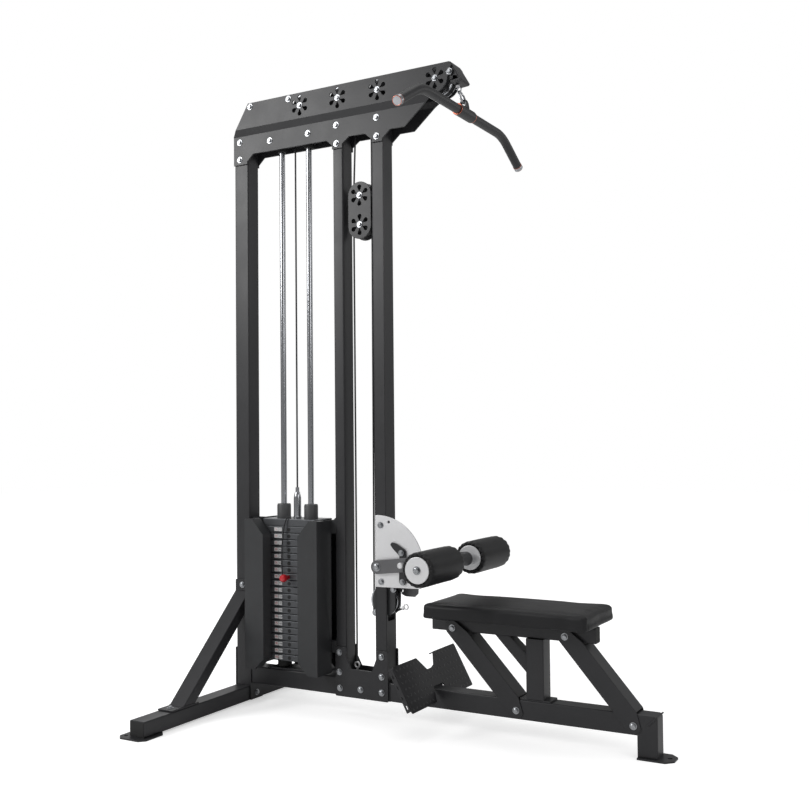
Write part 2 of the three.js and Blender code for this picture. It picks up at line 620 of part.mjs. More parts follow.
// U-channel brace between two bolts; its web lies on the upper side.
function seatBrace(a, b) {
  const len = Math.hypot(b[0] - a[0], b[1] - a[1]);
  const [c, s] = [(b[0] - a[0]) / len, (b[1] - a[1]) / len];
  const at = (u, n) => [a[0] + u * c - n * s, a[1] + u * s + n * c];
  const cheek = union(plateXZ(stadium(a, b, 23), -FACE - WALL, -FACE),
    plateXZ(outline([at(15, 0), at(len - 2, 12), at(len - 24, 33), at(42, 33)]), -FACE - WALL, -FACE));
  const web = plateXZ(outline([at(56, 30), at(len - 24, 30), at(len - 24, 33), at(56, 33)]),
    -FACE - WALL, FACE + WALL);
  return union(cheek, mirrored(cheek), web);
}

// Tread plate with a notch above and one that straddles the beam, drawn in its own plane.
function footPlate() {
  const lean = 28.1 * Math.PI / 180, half = 207, long = 150, t = 4;
  const sheet = [[-half, 0], [-58, 0], [-23, 45], [23, 45], [58, 0], [half, 0], [half, long - 8],
    [half - 8, long], [50, long], [32, 102], [-32, 102], [-50, long], [8 - half, long],
    [-half, long - 8]];
  const tread = new THREE.ExtrudeGeometry(outline(sheet), { depth: t, bevelEnabled: false });
  const lips = [[-half, -58], [58, half]].map(([a, b]) => box(a, b, 0, t, 0, 20));
  const sides = [[-half, t - half], [half - t, half]].map(([a, b]) => {
    const slots = [28, 62, 96, 126].map((v) => rodX(a - 1, b + 1, v, 12, 4, 10));
    return cut(box(a, b, 0, long - 8, 0, 20), slots);
  });
  const place = new THREE.Matrix4().makeBasis(
    new THREE.Vector3(0, 1, 0),
    new THREE.Vector3(Math.sin(lean), 0, -Math.cos(lean)),
    new THREE.Vector3(-Math.cos(lean), 0, -Math.sin(lean)));
  place.setPosition(741.5, 0, 223);
  const g = geometryOf(union(solid(tread), lips, sides)).applyMatrix4(place);
  const rib = outline([[757, 189], [786, 135], [792, 110], [792, 82], [786, 76], [706, 76], [700, 84],
    [700, 116]]);
  return union(solid(g), plateXZ(rib, -FACE - 4, -FACE), plateXZ(rib, FACE, FACE + 4));
}

function roundedPad(x0, x1, y, z0, z1, corner) {
  const s = new THREE.Shape();
  s.absarc(x1 - corner, -y + corner, corner, -Math.PI / 2, 0, false);
  s.absarc(x1 - corner, y - corner, corner, 0, Math.PI / 2, false);
  s.absarc(x0 + corner, y - corner, corner, Math.PI / 2, Math.PI, false);
  s.absarc(x0 + corner, -y + corner, corner, Math.PI, 1.5 * Math.PI, false);
  return plateXY(s, z0, z1);
}

// ---------------------------------------------------------------- assembly
const machine = new THREE.Group();
machine.position.x = -ORIGIN_X;

function add(name, shape, material) {
  const geometry = shape.isBufferGeometry ? shape : geometryOf(shape);
  const mesh = new THREE.Mesh(geometry, material);
  mesh.name = name;
  machine.add(mesh);
}

add('cross_foot', crossFoot(), FRAME);
add('rear_upright', rearUpright(), FRAME);
add('middle_upright', middleUpright(), FRAME);
add('front_upright', frontUpright(), FRAME);
add('base_tube', baseTube(), FRAME);
add('bench_beam', benchBeam(), FRAME);
add('gusset_near', gusset(-1), FRAME);
add('gusset_far', gusset(1), FRAME);
add('top_plate_near', topPlate(-1), FRAME);
add('top_plate_far', topPlate(1), FRAME);
add('rear_brace_near', rearBrace(-1), FRAME);
add('rear_brace_far', rearBrace(1), FRAME);
add('cable_stop', cableStop(), DARK);
add('shroud_rear', shroud(false), PANEL);
add('shroud_front', shroud(true), PANEL);

add('guide_rod_rear', guideRod(rodX0), CHROME);
add('guide_rod_front', guideRod(rodX1), CHROME);
add('stack_base_plate', stackBase(), DARK);
add('bumper_rear', bumper(rodX0), RUBBER);
add('bumper_front', bumper(rodX1), RUBBER);
add('rod_top_bracket', rodTopBracket(), DARK);
add('head_plate', headPlate(), IRON);
add('plates_lifted', cut(plateBlock(0, PICKED), pinBore()), IRON);
add('plates_resting', plateBlock(PICKED, PLATES), IRON);
add('selector_stem', selectorStem(), CHROME);
add('selector_pin', selectorPin(), RED);

const topHub = HALF + JOGGLE - 0.2;
TOP_PULLEY.x.forEach((x, i) => add(`top_pulley_${i + 1}`, pulley(TOP_PULLEY, x, TOP_PULLEY.z, topHub), DARK));
add('float_block', floatBlock(), FRAME);
add('float_pulley_upper', pulley(FLOAT, FLOAT.x, FLOAT.z[1], 16.6), DARK);
add('float_pulley_lower', pulley(FLOAT, FLOAT.x, FLOAT.z[0], 16.6), DARK);
add('low_pulley', pulley(LOW_PULLEY, LOW_PULLEY.x, LOW_PULLEY.z, 16.6), DARK);
add('low_pulley_guard', lowPulleyGuard(), PANEL);
add('anchor_eye', anchorEye(), ZINC);

const { groove: G, z: TZ, x: PX } = TOP_PULLEY;
const stackRopeX = PX[0] - G;
add('lat_cable_stack_run', rope([[stackRopeX, 752.4], [stackRopeX, TZ - 0.9]]), ROPE);
add('lat_cable_rear', rope([...around(PX[0], TZ, G, 180, 90), ...around(PX[1], TZ, G, 90, 2)]), ROPE);
const drop = around(PX[1], TZ - 1.2, G, 2, 2)[0];
add('lat_cable_loop', rope([drop, ...around(FLOAT.x, FLOAT.z[1], FLOAT.groove, 180, 360),
  [PX[2] - G, TZ - 1]]), ROPE);
add('lat_cable_front', rope([...around(PX[2], TZ, G, 180, 90),
  ...around(PX[3], TZ, G, 90, PULL_TILT * 180 / Math.PI)]), ROPE);
add('row_cable_loop', rope([[FLOAT.x - FLOAT.groove, 177.4],
  ...around(FLOAT.x, FLOAT.z[0], FLOAT.groove, 180, 0),
  [LOW_PULLEY.x - LOW_PULLEY.groove, LOW_PULLEY.z + 1.2]]), ROPE);
add('row_cable_exit', rope([...around(LOW_PULLEY.x, LOW_PULLEY.z, LOW_PULLEY.groove, 180, 294),
  alongRow(20)]), ROPE);

add('lat_cable_end', latCableEnd(), ZINC);
add('carabiner', carabiner(), CHROME);
add('lat_bar', latBar(), DARK);
add('row_cable_end', rowCableEnd(), ZINC);

add('quadrant_near', quadrant(-1), ZINC);
add('quadrant_far', quadrant(1), ZINC);
add('thigh_arm', thighArm(), ARM);
add('roller_shaft', rollerShaft(), ZINC);
add('roller_near', foamRoller(-1), VINYL);
add('roller_far', foamRoller(1), VINYL);
add('pop_pin', popPin(), ZINC);
add('latch_handle', latchHandle(), DARK);

add('seat_frame', seatFrame(), FRAME);
add('seat_brace_front', seatBrace([858, 323], [1072, 92]), FRAME);
add('seat_brace_rear', seatBrace([1231, 328], [1435, 92]), FRAME);
add('seat_board', roundedPad(806, 1323, 119, SEAT.z[0], 373, 22), DARK);
add('seat_pad', roundedPad(...SEAT.x, SEAT.y, 373.4, SEAT.z[1], 30), VINYL);
add('foot_plate', footPlate(), FRAME);

export default machine;
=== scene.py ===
import math

import bmesh
import bpy
from mathutils import Matrix, Vector


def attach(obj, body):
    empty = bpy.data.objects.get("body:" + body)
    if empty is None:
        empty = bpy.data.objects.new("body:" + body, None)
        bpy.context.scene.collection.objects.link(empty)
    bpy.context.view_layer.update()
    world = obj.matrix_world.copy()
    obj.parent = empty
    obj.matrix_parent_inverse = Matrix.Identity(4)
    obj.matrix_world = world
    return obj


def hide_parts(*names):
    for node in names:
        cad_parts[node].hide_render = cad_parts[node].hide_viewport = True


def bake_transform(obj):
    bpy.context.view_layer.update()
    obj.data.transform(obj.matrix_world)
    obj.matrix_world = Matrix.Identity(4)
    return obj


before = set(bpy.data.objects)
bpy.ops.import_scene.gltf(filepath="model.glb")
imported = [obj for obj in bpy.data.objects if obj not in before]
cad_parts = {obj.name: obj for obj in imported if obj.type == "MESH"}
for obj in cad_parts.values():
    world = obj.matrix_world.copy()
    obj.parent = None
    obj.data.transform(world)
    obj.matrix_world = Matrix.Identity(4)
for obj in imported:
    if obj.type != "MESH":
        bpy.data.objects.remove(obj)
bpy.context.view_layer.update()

bl_info = {
    "name": "Lat Pulldown Machine",
    "version": (1, 0, 0),
    "blender": (4, 5, 0),
    "location": "View3D > Sidebar > Pulldown",
    "description": "Builds a lat pulldown and low row machine on its CAD frame",
    "category": "Add Mesh",
}

BACK = 0.7565                      # from the rear upright's back to the origin, in metres

# lengths below are in mm: X from the rear upright's back, Y across, Z from the floor
HALF = 30                          # half width of the frame's square tubes
FACE = 30.3                        # side of a tube, where the bolted plates lie
PLATE = 5                          # thickness of the bolted plates
TOP_PULLEYS, TOP_Z = (294, 449, 606, 821), 2071
FLOAT_X, FLOAT_LOW, FLOAT_HIGH = 521, 1636, 1735
LOW_X, LOW_Z = 599, 387
TOP_GROOVE, FLOAT_GROOVE, LOW_GROOVE = 49, 36, 46   # out to the middle of the cable
PULL = math.radians(20)            # the bar's cable leans towards the seat
ROW = math.radians(24)             # the row cable rises towards the seat
BAR_X, BAR_Z = 905, 1955
PIVOT, ROLLER = (592, 500), (872, 532)
SEAT_BRACES = {"front": ((858, 323), (1072, 92)), "rear": ((1231, 328), (1435, 92))}   # bolts
RODS, STACK_X = {"rear": 188, "front": 302}, 245
STACK_TOP, STACK_HALF = 621, 52    # top of the highest plate, half depth of every plate
TUBE_TOP = 2005
SIDES = ((-1, "-Y"), (1, "+Y"))    # near and far


# ---------------------------------------------------------------- settings
class PULLDOWN_PG_finish(bpy.types.PropertyGroup):
    coat: bpy.props.FloatVectorProperty(
        name="Powder coat", description="Colour of the frame", subtype="COLOR", size=3,
        min=0, max=1, default=(0.021, 0.021, 0.023))
    panel: bpy.props.FloatVectorProperty(
        name="Covers", description="Colour of the stack covers", subtype="COLOR", size=3,
        min=0, max=1, default=(0.03, 0.031, 0.033))
    plates: bpy.props.FloatVectorProperty(
        name="Weight plates", description="Colour of the weight plates", subtype="COLOR", size=3,
        min=0, max=1, default=(0.085, 0.088, 0.094))
    vinyl: bpy.props.FloatVectorProperty(
        name="Vinyl", description="Colour of the seat and the rollers", subtype="COLOR", size=3,
        min=0, max=1, default=(0.012, 0.012, 0.013))
    coat_grain: bpy.props.FloatProperty(
        name="Coat grain", description="Size of the powder coat's texture", subtype="DISTANCE",
        unit="LENGTH", min=0.0002, max=0.01, default=0.0009)


class PULLDOWN_PG_stack(bpy.types.PropertyGroup):
    count: bpy.props.IntProperty(
        name="Plates", description="Weight plates in the stack", min=2, max=20, default=20)
    picked: bpy.props.IntProperty(
        name="Picked", description="Plates above the selector pin", min=1, max=19, default=8)
    pitch: bpy.props.FloatProperty(
        name="Pitch", description="Height of one plate", subtype="DISTANCE", unit="LENGTH",
        min=0.01, max=0.05, default=0.023)
    step: bpy.props.IntProperty(
        name="Number step", description="What each plate adds to the number beside it",
        min=1, max=20, default=5)


class PULLDOWN_PG_fasteners(bpy.types.PropertyGroup):
    head: bpy.props.FloatProperty(
        name="Head", description="Half width of a bolt's head", subtype="DISTANCE", unit="LENGTH",
        min=0.003, max=0.02, default=0.0072)
    washer: bpy.props.FloatProperty(
        name="Washer", description="Radius of a washer", subtype="DISTANCE", unit="LENGTH",
        min=0.004, max=0.03, default=0.0108)
    height: bpy.props.FloatProperty(
        name="Height", description="How far a bolt's head stands out", subtype="DISTANCE",
        unit="LENGTH", min=0.001, max=0.02, default=0.0055)


class PULLDOWN_PG_padding(bpy.types.PropertyGroup):
    pressure: bpy.props.FloatProperty(
        name="Pressure", description="How hard the seat's foam fills its cover", min=0, max=20,
        default=4)
    swell: bpy.props.FloatProperty(
        name="Swell", description="Most that the seat's cover may move out", subtype="DISTANCE",
        unit="LENGTH", min=0, max=0.03, default=0.0035)
    voxel: bpy.props.FloatProperty(
        name="Cell", description="Size of the cells the seat is made of", subtype="DISTANCE",
        unit="LENGTH", min=0.004, max=0.02, default=0.006)


# ---------------------------------------------------------------- places and outlines
def place(x, y, z):
    """A point given in mm, in metres about the machine's origin."""
    return Vector((x / 1000 - BACK, y / 1000, z / 1000))


def arc(cx, cz, r, start, end, steps=16):
    """Points on a circle from one angle to another, in degrees."""
    return [(cx + r * math.cos(math.radians(start + (end - start) * i / steps)),
             cz + r * math.sin(math.radians(start + (end - start) * i / steps)))
            for i in range(steps + 1)]


def circle(cx, cz, r, steps=32):
    return arc(cx, cz, r, 0, 360, steps)[:-1]


def rounded(points, radius, steps=7):
    """The outline with every corner turned into an arc."""
    out = []
    for i, p in enumerate(points):
        p, a, b = Vector(p), Vector(points[i - 1]), Vector(points[(i + 1) % len(points)])
        to_a, to_b = a - p, b - p
        half = to_a.angle(to_b, math.pi) / 2
        if half > math.radians(88):
            out.append(tuple(p))
            continue
        reach = min(radius / math.tan(half), to_a.length * 0.45, to_b.length * 0.45)
        start, end = p + to_a.normalized() * reach, p + to_b.normalized() * reach
        for k in range(steps + 1):
            t = k / steps
            out.append(tuple((1 - t) ** 2 * start + 2 * t * (1 - t) * p + t * t * end))
    return out


def rect(a0, a1, b0, b1, radius=0):
    corners = [(a0, b0), (a1, b0), (a1, b1), (a0, b1)]
    return rounded(corners, radius) if radius else corners


def stadium(a, b, r):
    """The outline of a strap with round ends about a and b."""
    turn = math.degrees(math.atan2(b[1] - a[1], b[0] - a[0]))
    return arc(*b, r, turn - 90, turn + 90) + arc(*a, r, turn + 90, turn + 270)


def petals(x, z):
    """Six teardrop holes round an axle."""
    side = [(18, -2.6), (25, -6.6), (30, -7.6), (34, -4.6)]
    drop = [(12, 0), *side, (35.4, 0), *((r, -w) for r, w in reversed(side))]
    return [[(x + r * math.cos(a) - w * math.sin(a), z + r * math.sin(a) + w * math.cos(a))
             for r, w in drop] for a in (math.radians(90 + 60 * i) for i in range(6))]


def along_pull(t):
    """The point t mm down the bar's cable from where it leaves the last head pulley."""
    return Vector((TOP_PULLEYS[-1] + TOP_GROOVE * math.cos(PULL) + t * math.sin(PULL), 0,
                   TOP_Z + TOP_GROOVE * math.sin(PULL) - t * math.cos(PULL)))


def along_row(t):
    """The point t mm along the row cable from where it leaves the low pulley."""
    return Vector((LOW_X + LOW_GROOVE * math.sin(ROW) + t * math.cos(ROW), 0,
                   LOW_Z - LOW_GROOVE * math.cos(ROW) + t * math.sin(ROW)))


# ---------------------------------------------------------------- mesh making
PLANES = {"XZ": lambda u, v, w: (u, w, v), "YZ": lambda u, v, w: (w, u, v),
          "XY": lambda u, v, w: (u, v, w)}


def mesh_from(bm, name):
    mesh = bpy.data.meshes.new(name)
    bm.to_mesh(mesh)
    bm.free()
    return mesh


def settled(holder):
    """The plain mesh that an object's curve, text or modifiers make; the object goes."""
    bpy.context.scene.collection.objects.link(holder)
    mesh = bpy.data.meshes.new_from_object(
        holder.evaluated_get(bpy.context.evaluated_depsgraph_get()))
    holder.modifiers.clear()
    bpy.data.objects.remove(holder)
    return mesh


def slab(loops, low, high, plane="XZ", edge=0.7):
    """A plate cut to an outline with holes, from low to high across its plane, edges broken."""
    curve = bpy.data.curves.new("outline", "CURVE")
    curve.dimensions, curve.fill_mode = "2D", "BOTH"
    for loop in loops:
        spline = curve.splines.new("POLY")
        spline.points.add(len(loop) - 1)
        spline.use_cyclic_u = True
        for point, (u, v) in zip(spline.points, loop):
            point.co = (u, v, 0, 1)
    edge = min(edge, (high - low) * 0.45)
    curve.extrude = (high - low) / 2 - edge
    curve.bevel_depth, curve.bevel_resolution, curve.offset = edge, 1, -edge
    mesh = settled(bpy.data.objects.new("outline", curve))
    bm = bmesh.new()
    bm.from_mesh(mesh)
    bpy.data.meshes.remove(mesh)
    turn = PLANES[plane]
    middle = (low + high) / 2
    for vert in bm.verts:
        vert.co = place(*turn(vert.co.x, vert.co.y, vert.co.z + middle))
    bmesh.ops.remove_doubles(bm, verts=bm.verts, dist=2e-6)
    bmesh.ops.recalc_face_normals(bm, faces=bm.faces)
    return bm


def side_plate(loops, edge=0.7):
    """A plate on the near side of the frame's tubes."""
    return slab(loops, -FACE - PLATE, -FACE, "XZ", edge)


def block(x, y, z, edge=1, corner=0):
    """A box with broken edges; corner rounds its edges along Z."""
    return slab([rect(*x, *y, corner)], *z, plane="XY", edge=edge)


def square_tube(x, y, z, along, corner=5):
    """A closed bar of square tube between two ends on each axis, its edges along one of them."""
    spans = {"X": ("YZ", y, z, x), "Y": ("XZ", x, z, y), "Z": ("XY", x, y, z)}
    plane, a, b, run = spans[along]
    return slab([rect(*a, *b, corner)], *run, plane=plane, edge=0.6)


def turned(profile, centre, axis="Y", sides=48, open_ends=False):
    """A turned piece from [radius, height] pairs about a line along an axis, in mm."""
    bm = bmesh.new()
    rings = []
    for radius, height in profile:
        ring = []
        for i in range(1 if radius < 1e-6 else sides):
            a = 2 * math.pi * i / sides
            u, v = radius * math.cos(a), radius * math.sin(a)
            offset = {"Y": (u, height, v), "Z": (u, v, height), "X": (height, u, v)}[axis]
            ring.append(bm.verts.new(place(*(c + o for c, o in zip(centre, offset)))))
        rings.append(ring)
    pairs = list(zip(rings, rings[1:]))
    if open_ends:
        pairs.append((rings[-1], rings[0]))
    for a, b in pairs:
        for i in range(sides):
            j = (i + 1) % sides
            corners = [a[i % len(a)], a[j % len(a)], b[j % len(b)], b[i % len(b)]]
            corners = list(dict.fromkeys(corners))
            if len(corners) > 2:
                bm.faces.new(corners)
    bmesh.ops.recalc_face_normals(bm, faces=bm.faces)
    return bm


def soft_path(points, radius, steps=6):
    """Corners of a route in space turned into bends."""
    points = [Vector(p) for p in points]
    out = [points[0]]
    for a, p, b in zip(points, points[1:], points[2:]):
        reach = min(radius, (a - p).length * 0.48, (b - p).length * 0.48)
        start, end = p + (a - p).normalized() * reach, p + (b - p).normalized() * reach
        for k in range(steps + 1):
            t = k / steps
            out.append((1 - t) ** 2 * start + 2 * t * (1 - t) * p + t * t * end)
    return out + [points[-1]]


def smooth_line(points, steps):
    """A curve through all the points."""
    ends = [points[0] * 2 - points[1], *points, points[-1] * 2 - points[-2]]
    out = []
    for a, b, c, d in zip(ends, ends[1:], ends[2:], ends[3:]):
        for k in range(steps):
            t = k / steps
            out.append(0.5 * (2 * b + (c - a) * t + (2 * a - 5 * b + 4 * c - d) * t * t
                              + (3 * b - a - 3 * c + d) * t ** 3))
    return out + [points[-1]]


def tube(points, radius, sides=20, closed=False, radii=None):
    """A round bar along points in mm."""
    points = [Vector(p) for p in points]
    count = len(points)
    bm = bmesh.new()
    rings, normal = [], None
    for i, p in enumerate(points):
        before = points[i - 1] if i or closed else p
        after = points[(i + 1) % count] if i + 1 < count or closed else p
        tangent = (after - before).normalized()
        if normal is None:
            normal = tangent.orthogonal().normalized()
        normal = (normal - tangent * normal.dot(tangent)).normalized()
        side = tangent.cross(normal)
        r = radii[i] if radii else radius
        rings.append([bm.verts.new(place(*(p + normal * r * math.cos(a) + side * r * math.sin(a))))
                      for a in (2 * math.pi * k / sides for k in range(sides))])
    for a, b in zip(rings, rings[1:] + (rings[:1] if closed else [])):
        for i in range(sides):
            bm.faces.new((a[i], a[(i + 1) % sides], b[(i + 1) % sides], b[i]))
    if not closed:
        bm.faces.new(rings[0][::-1])
        bm.faces.new(rings[-1])
    bmesh.ops.recalc_face_normals(bm, faces=bm.faces)
    return bm


def eye(centre, radius, bar):
    """A closed ring across Y."""
    return tube([(x, centre[1], z) for x, z in circle(centre[0], centre[2], radius, 24)], bar,
                closed=True)


def from_node(node, edge=0.6):
    """A merged copy of a CAD node's own shape, with its sharp edges broken."""
    bm = bmesh.new()
    bm.from_mesh(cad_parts[node].data)
    bmesh.ops.remove_doubles(bm, verts=bm.verts, dist=2e-6)
    bmesh.ops.dissolve_limit(bm, angle_limit=0.01, verts=bm.verts, edges=bm.edges)
    sharp = [e for e in bm.edges if e.is_manifold and e.calc_face_angle(0) > 0.5]
    bmesh.ops.bevel(bm, geom=sharp, offset=edge / 1000, segments=2, profile=0.5,
                    affect="EDGES", clamp_overlap=True)
    return bm


def flipped(bm):
    """A mirror image across the machine's centre plane."""
    copy = bm.copy()
    for vert in copy.verts:
        vert.co.y = -vert.co.y
    bmesh.ops.reverse_faces(copy, faces=copy.faces)
    return copy


def piece(name, shapes, body, finish, nodes=(), smooth=21):
    """Joins shapes into one object that rides on a body and stands for some CAD nodes."""
    whole = bmesh.new()
    for shape in shapes:
        part = mesh_from(shape, "part")
        whole.from_mesh(part)
        bpy.data.meshes.remove(part)
    return finished(name, mesh_from(whole, name), body, finish, nodes, smooth)


def coated(name, shapes, node_name, smooth=21):
    """A powder coated piece of the frame."""
    return piece(name, shapes, "frame", powder_coat(), [node_name], smooth)


def finished(name, mesh, body, finish, nodes=(), smooth=21):
    """Gives a mesh its gloss, its name and its place among the machine's bodies."""
    name = name.lower().replace(" ", "_")
    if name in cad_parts:
        name += "_shape"
    mesh.name = name
    mesh.polygons.foreach_set("use_smooth", [True] * len(mesh.polygons))
    mesh.set_sharp_from_angle(angle=math.radians(smooth))
    if not mesh.materials:
        mesh.materials.append(finish)
    obj = bpy.data.objects.new(name, mesh)
    bpy.context.scene.collection.objects.link(obj)
    if body:
        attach(obj, body)
    if nodes:
        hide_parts(*nodes)
    return obj


def pad(obj):
    """Rounds a padded piece's surface off."""
    smooth = obj.modifiers.new("Smooth", "SUBSURF")
    smooth.levels = smooth.render_levels = 1


# ---------------------------------------------------------------- node helpers
def new_group(name, kind, inputs, outputs):
    """A node tree with named sockets, and the nodes that stand for its two ends."""
    tree = bpy.data.node_groups.new(name, kind)
    for label, socket, value in inputs:
        made = tree.interface.new_socket(name=label, in_out="INPUT", socket_type=socket)
        if value is not None:
            made.default_value = value
    for label, socket in outputs:
        tree.interface.new_socket(name=label, in_out="OUTPUT", socket_type=socket)
    return tree, tree.nodes.new("NodeGroupInput"), tree.nodes.new("NodeGroupOutput")


def feed(tree, target, values):
    """Gives a node's inputs their values, or the sockets that they follow."""
    for key, value in values.items():
        if isinstance(value, bpy.types.NodeSocket):
            tree.links.new(value, target.inputs[key])
        else:
            target.inputs[key].default_value = value


def node(tree, kind, values=None, **settings):
    """A new node with its settings made, then its inputs fed."""
    made = tree.nodes.new(kind)
    for key, value in settings.items():
        setattr(made, key, value)
    feed(tree, made, values or {})
    return made


def surface_group(name, build):
    """Inputs Vector, Scale and Patch; outputs Height, Patch and Scuff, each over the surface."""
    if name in bpy.data.node_groups:
        return bpy.data.node_groups[name]
    tree, given, out = new_group(name, "ShaderNodeTree", [
        ("Vector", "NodeSocketVector", None), ("Scale", "NodeSocketFloat", 1000.0),
        ("Patch", "NodeSocketFloat", 9.0)],
        [("Height", "NodeSocketFloat"), ("Patch", "NodeSocketFloat"), ("Scuff", "NodeSocketFloat")])
    where = given.outputs["Vector"]
    patch = node(tree, "ShaderNodeTexNoise", {"Vector": where, "Scale": given.outputs["Patch"],
                                              "Detail": 5.0, "Roughness": 0.62})
    scuff = node(tree, "ShaderNodeTexNoise", {"Vector": where, "Scale": 60.0, "Detail": 8.0,
                                              "Roughness": 0.75})
    keep = node(tree, "ShaderNodeMapRange", {"Value": scuff.outputs["Fac"], "From Min": 0.62,
                                             "From Max": 0.72})
    feed(tree, out, {"Height": build(tree, where, given.outputs["Scale"]),
                     "Patch": patch.outputs["Fac"], "Scuff": keep.outputs["Result"]})
    return tree


def coat_texture(tree, where, scale):
    return node(tree, "ShaderNodeTexNoise", {"Vector": where, "Scale": scale, "Detail": 3.0,
                                             "Roughness": 0.55}).outputs["Fac"]


def skin_texture(tree, where, scale):
    warp = node(tree, "ShaderNodeTexNoise", {"Vector": where, "Scale": 180.0, "Detail": 2.0})
    bend = node(tree, "ShaderNodeVectorMath", {
        0: warp.outputs["Color"], 1: (0.002, 0.002, 0.002), 2: where}, operation="MULTIPLY_ADD")
    cells = node(tree, "ShaderNodeTexVoronoi", {"Vector": bend.outputs["Vector"], "Scale": scale},
                 feature="DISTANCE_TO_EDGE")
    return node(tree, "ShaderNodeMapRange", {"Value": cells.outputs["Distance"],
                                             "From Max": 0.22}).outputs["Result"]


def brushed_texture(tree, where, scale):
    stretch = node(tree, "ShaderNodeVectorMath", {0: where, 1: (1.0, 1.0, 0.04)},
                   operation="MULTIPLY")
    return node(tree, "ShaderNodeTexNoise", {"Vector": stretch.outputs["Vector"], "Scale": scale,
                                             "Detail": 4.0, "Roughness": 0.6}).outputs["Fac"]


def strand_texture(tree, where, scale):
    twist = node(tree, "ShaderNodeTexWave", {"Vector": where, "Scale": scale, "Distortion": 0.4,
                                             "Detail": 1.0}, bands_direction="DIAGONAL")
    return twist.outputs["Fac"]


def make_finish(name, colour, rough, metal=0.0, texture=("Coat texture", coat_texture), scale=1100,
                patch=9.0, spread=0.25, lift=0.00008, strength=0.35, shift=0.08, coat=0.0,
                scuff=0.0, specular=0.4):
    """A procedural material: a colour that drifts, a surface texture and uneven gloss."""
    if name in bpy.data.materials:
        return bpy.data.materials[name]
    mat = bpy.data.materials.new(name)
    mat.use_nodes = True
    tree = mat.node_tree
    tree.nodes.clear()

    def shade(times, plus=0.0):
        return (*(min(1, c * times + plus) for c in colour), 1)

    where = node(tree, "ShaderNodeTexCoord")
    group = node(tree, "ShaderNodeGroup", {"Vector": where.outputs["Object"], "Scale": scale,
                                           "Patch": patch}, node_tree=surface_group(*texture))
    drift = group.outputs["Patch"]
    tint = node(tree, "ShaderNodeMix", {"Factor": drift, "A": shade(1 - spread),
                                        "B": shade(1 + spread)}, data_type="RGBA")
    amount = node(tree, "ShaderNodeMath", {0: group.outputs["Scuff"], 1: scuff},
                  operation="MULTIPLY")
    worn = node(tree, "ShaderNodeMix", {"Factor": amount.outputs["Value"],
                                        "A": tint.outputs["Result"], "B": shade(1.6, 0.02)},
                data_type="RGBA")
    gloss = node(tree, "ShaderNodeMapRange", {"Value": drift, "To Min": max(0.02, rough - shift),
                                             "To Max": min(1.0, rough + shift)})
    bump = node(tree, "ShaderNodeBump", {"Height": group.outputs["Height"], "Strength": strength,
                                         "Distance": lift})
    shader = node(tree, "ShaderNodeBsdfPrincipled", {
        "Base Color": worn.outputs["Result"], "Roughness": gloss.outputs["Result"],
        "Normal": bump.outputs["Normal"], "Metallic": metal, "Coat Weight": coat,
        "Coat Roughness": 0.2, "Specular IOR Level": specular})
    node(tree, "ShaderNodeOutputMaterial", {"Surface": shader.outputs["BSDF"]})
    return mat


BRUSHED = ("Brushed texture", brushed_texture)
SKIN = ("Skin texture", skin_texture)
STRAND = ("Strand texture", strand_texture)


def powder_coat():
    s = bpy.context.scene.pulldown_finish
    return make_finish("Powder coat", tuple(s.coat), 0.4, scale=1 / s.coat_grain, scuff=0.2,
                       lift=0.00003, strength=0.3)


def worn_coat():
    return make_finish("Worn coat", (0.07, 0.07, 0.072), 0.34, metal=0.3, scale=900, scuff=0.5,
                       lift=0.00003, strength=0.2)


def cover_paint():
    return make_finish("Cover paint", tuple(bpy.context.scene.pulldown_finish.panel), 0.4,
                       scale=1300, scuff=0.15, lift=0.00003, strength=0.3)


def plate_paint():
    return make_finish("Plate paint", tuple(bpy.context.scene.pulldown_finish.plates), 0.42,
                       metal=0.45, scale=700, spread=0.2, scuff=0.5)


def arm_paint():
    return make_finish("Arm paint", (0.13, 0.13, 0.135), 0.4, metal=0.5, scale=900, texture=BRUSHED)


def chrome():
    return make_finish("Chrome", (0.4, 0.41, 0.43), 0.19, metal=1.0, texture=BRUSHED, spread=0.03,
                       strength=0.02, lift=0.00001, shift=0.03)


def zinc():
    return make_finish("Zinc plate", (0.72, 0.72, 0.73), 0.42, metal=0.55, texture=BRUSHED,
                       spread=0.07, scale=420, strength=0.12, scuff=0.15)


def bolt_steel():
    return make_finish("Bolt steel", (0.36, 0.37, 0.385), 0.3, metal=1.0, texture=BRUSHED,
                       scale=900, spread=0.12, strength=0.2)


def wheel_nylon():
    return make_finish("Wheel nylon", (0.02, 0.02, 0.022), 0.38, scale=1600, patch=30,
                       strength=0.15)


def rubber():
    return make_finish("Rubber", (0.016, 0.016, 0.016), 0.75, scale=1500, patch=40, strength=0.3)


def seat_vinyl():
    return make_finish("Seat vinyl", tuple(bpy.context.scene.pulldown_finish.vinyl), 0.44,
                       texture=SKIN, scale=620, patch=14, lift=0.00012, strength=0.35, shift=0.07,
                       spread=0.2, specular=0.25)


def cable_coat():
    return make_finish("Cable coat", (0.022, 0.022, 0.024), 0.32, texture=STRAND, scale=260,
                       strength=0.35, lift=0.0003, spread=0.15)


def red_knob():
    return make_finish("Red knob", (0.5, 0.012, 0.02), 0.28, scale=900, strength=0.08, coat=0.4,
                       spread=0.1)


def bushing_plastic():
    return make_finish("Bushing plastic", (0.075, 0.076, 0.078), 0.45, scale=900, strength=0.2)


def copper_ring():
    return make_finish("Copper ring", (0.62, 0.2, 0.13), 0.25, metal=1.0, texture=BRUSHED,
                       spread=0.1)


def label_card():
    return make_finish("Label card", (0.62, 0.62, 0.62), 0.5, scale=2000, spread=0.06,
                       strength=0.05)


def label_dark():
    return make_finish("Label dark", (0.05, 0.05, 0.055), 0.5, scale=2000, spread=0.1,
                       strength=0.05)


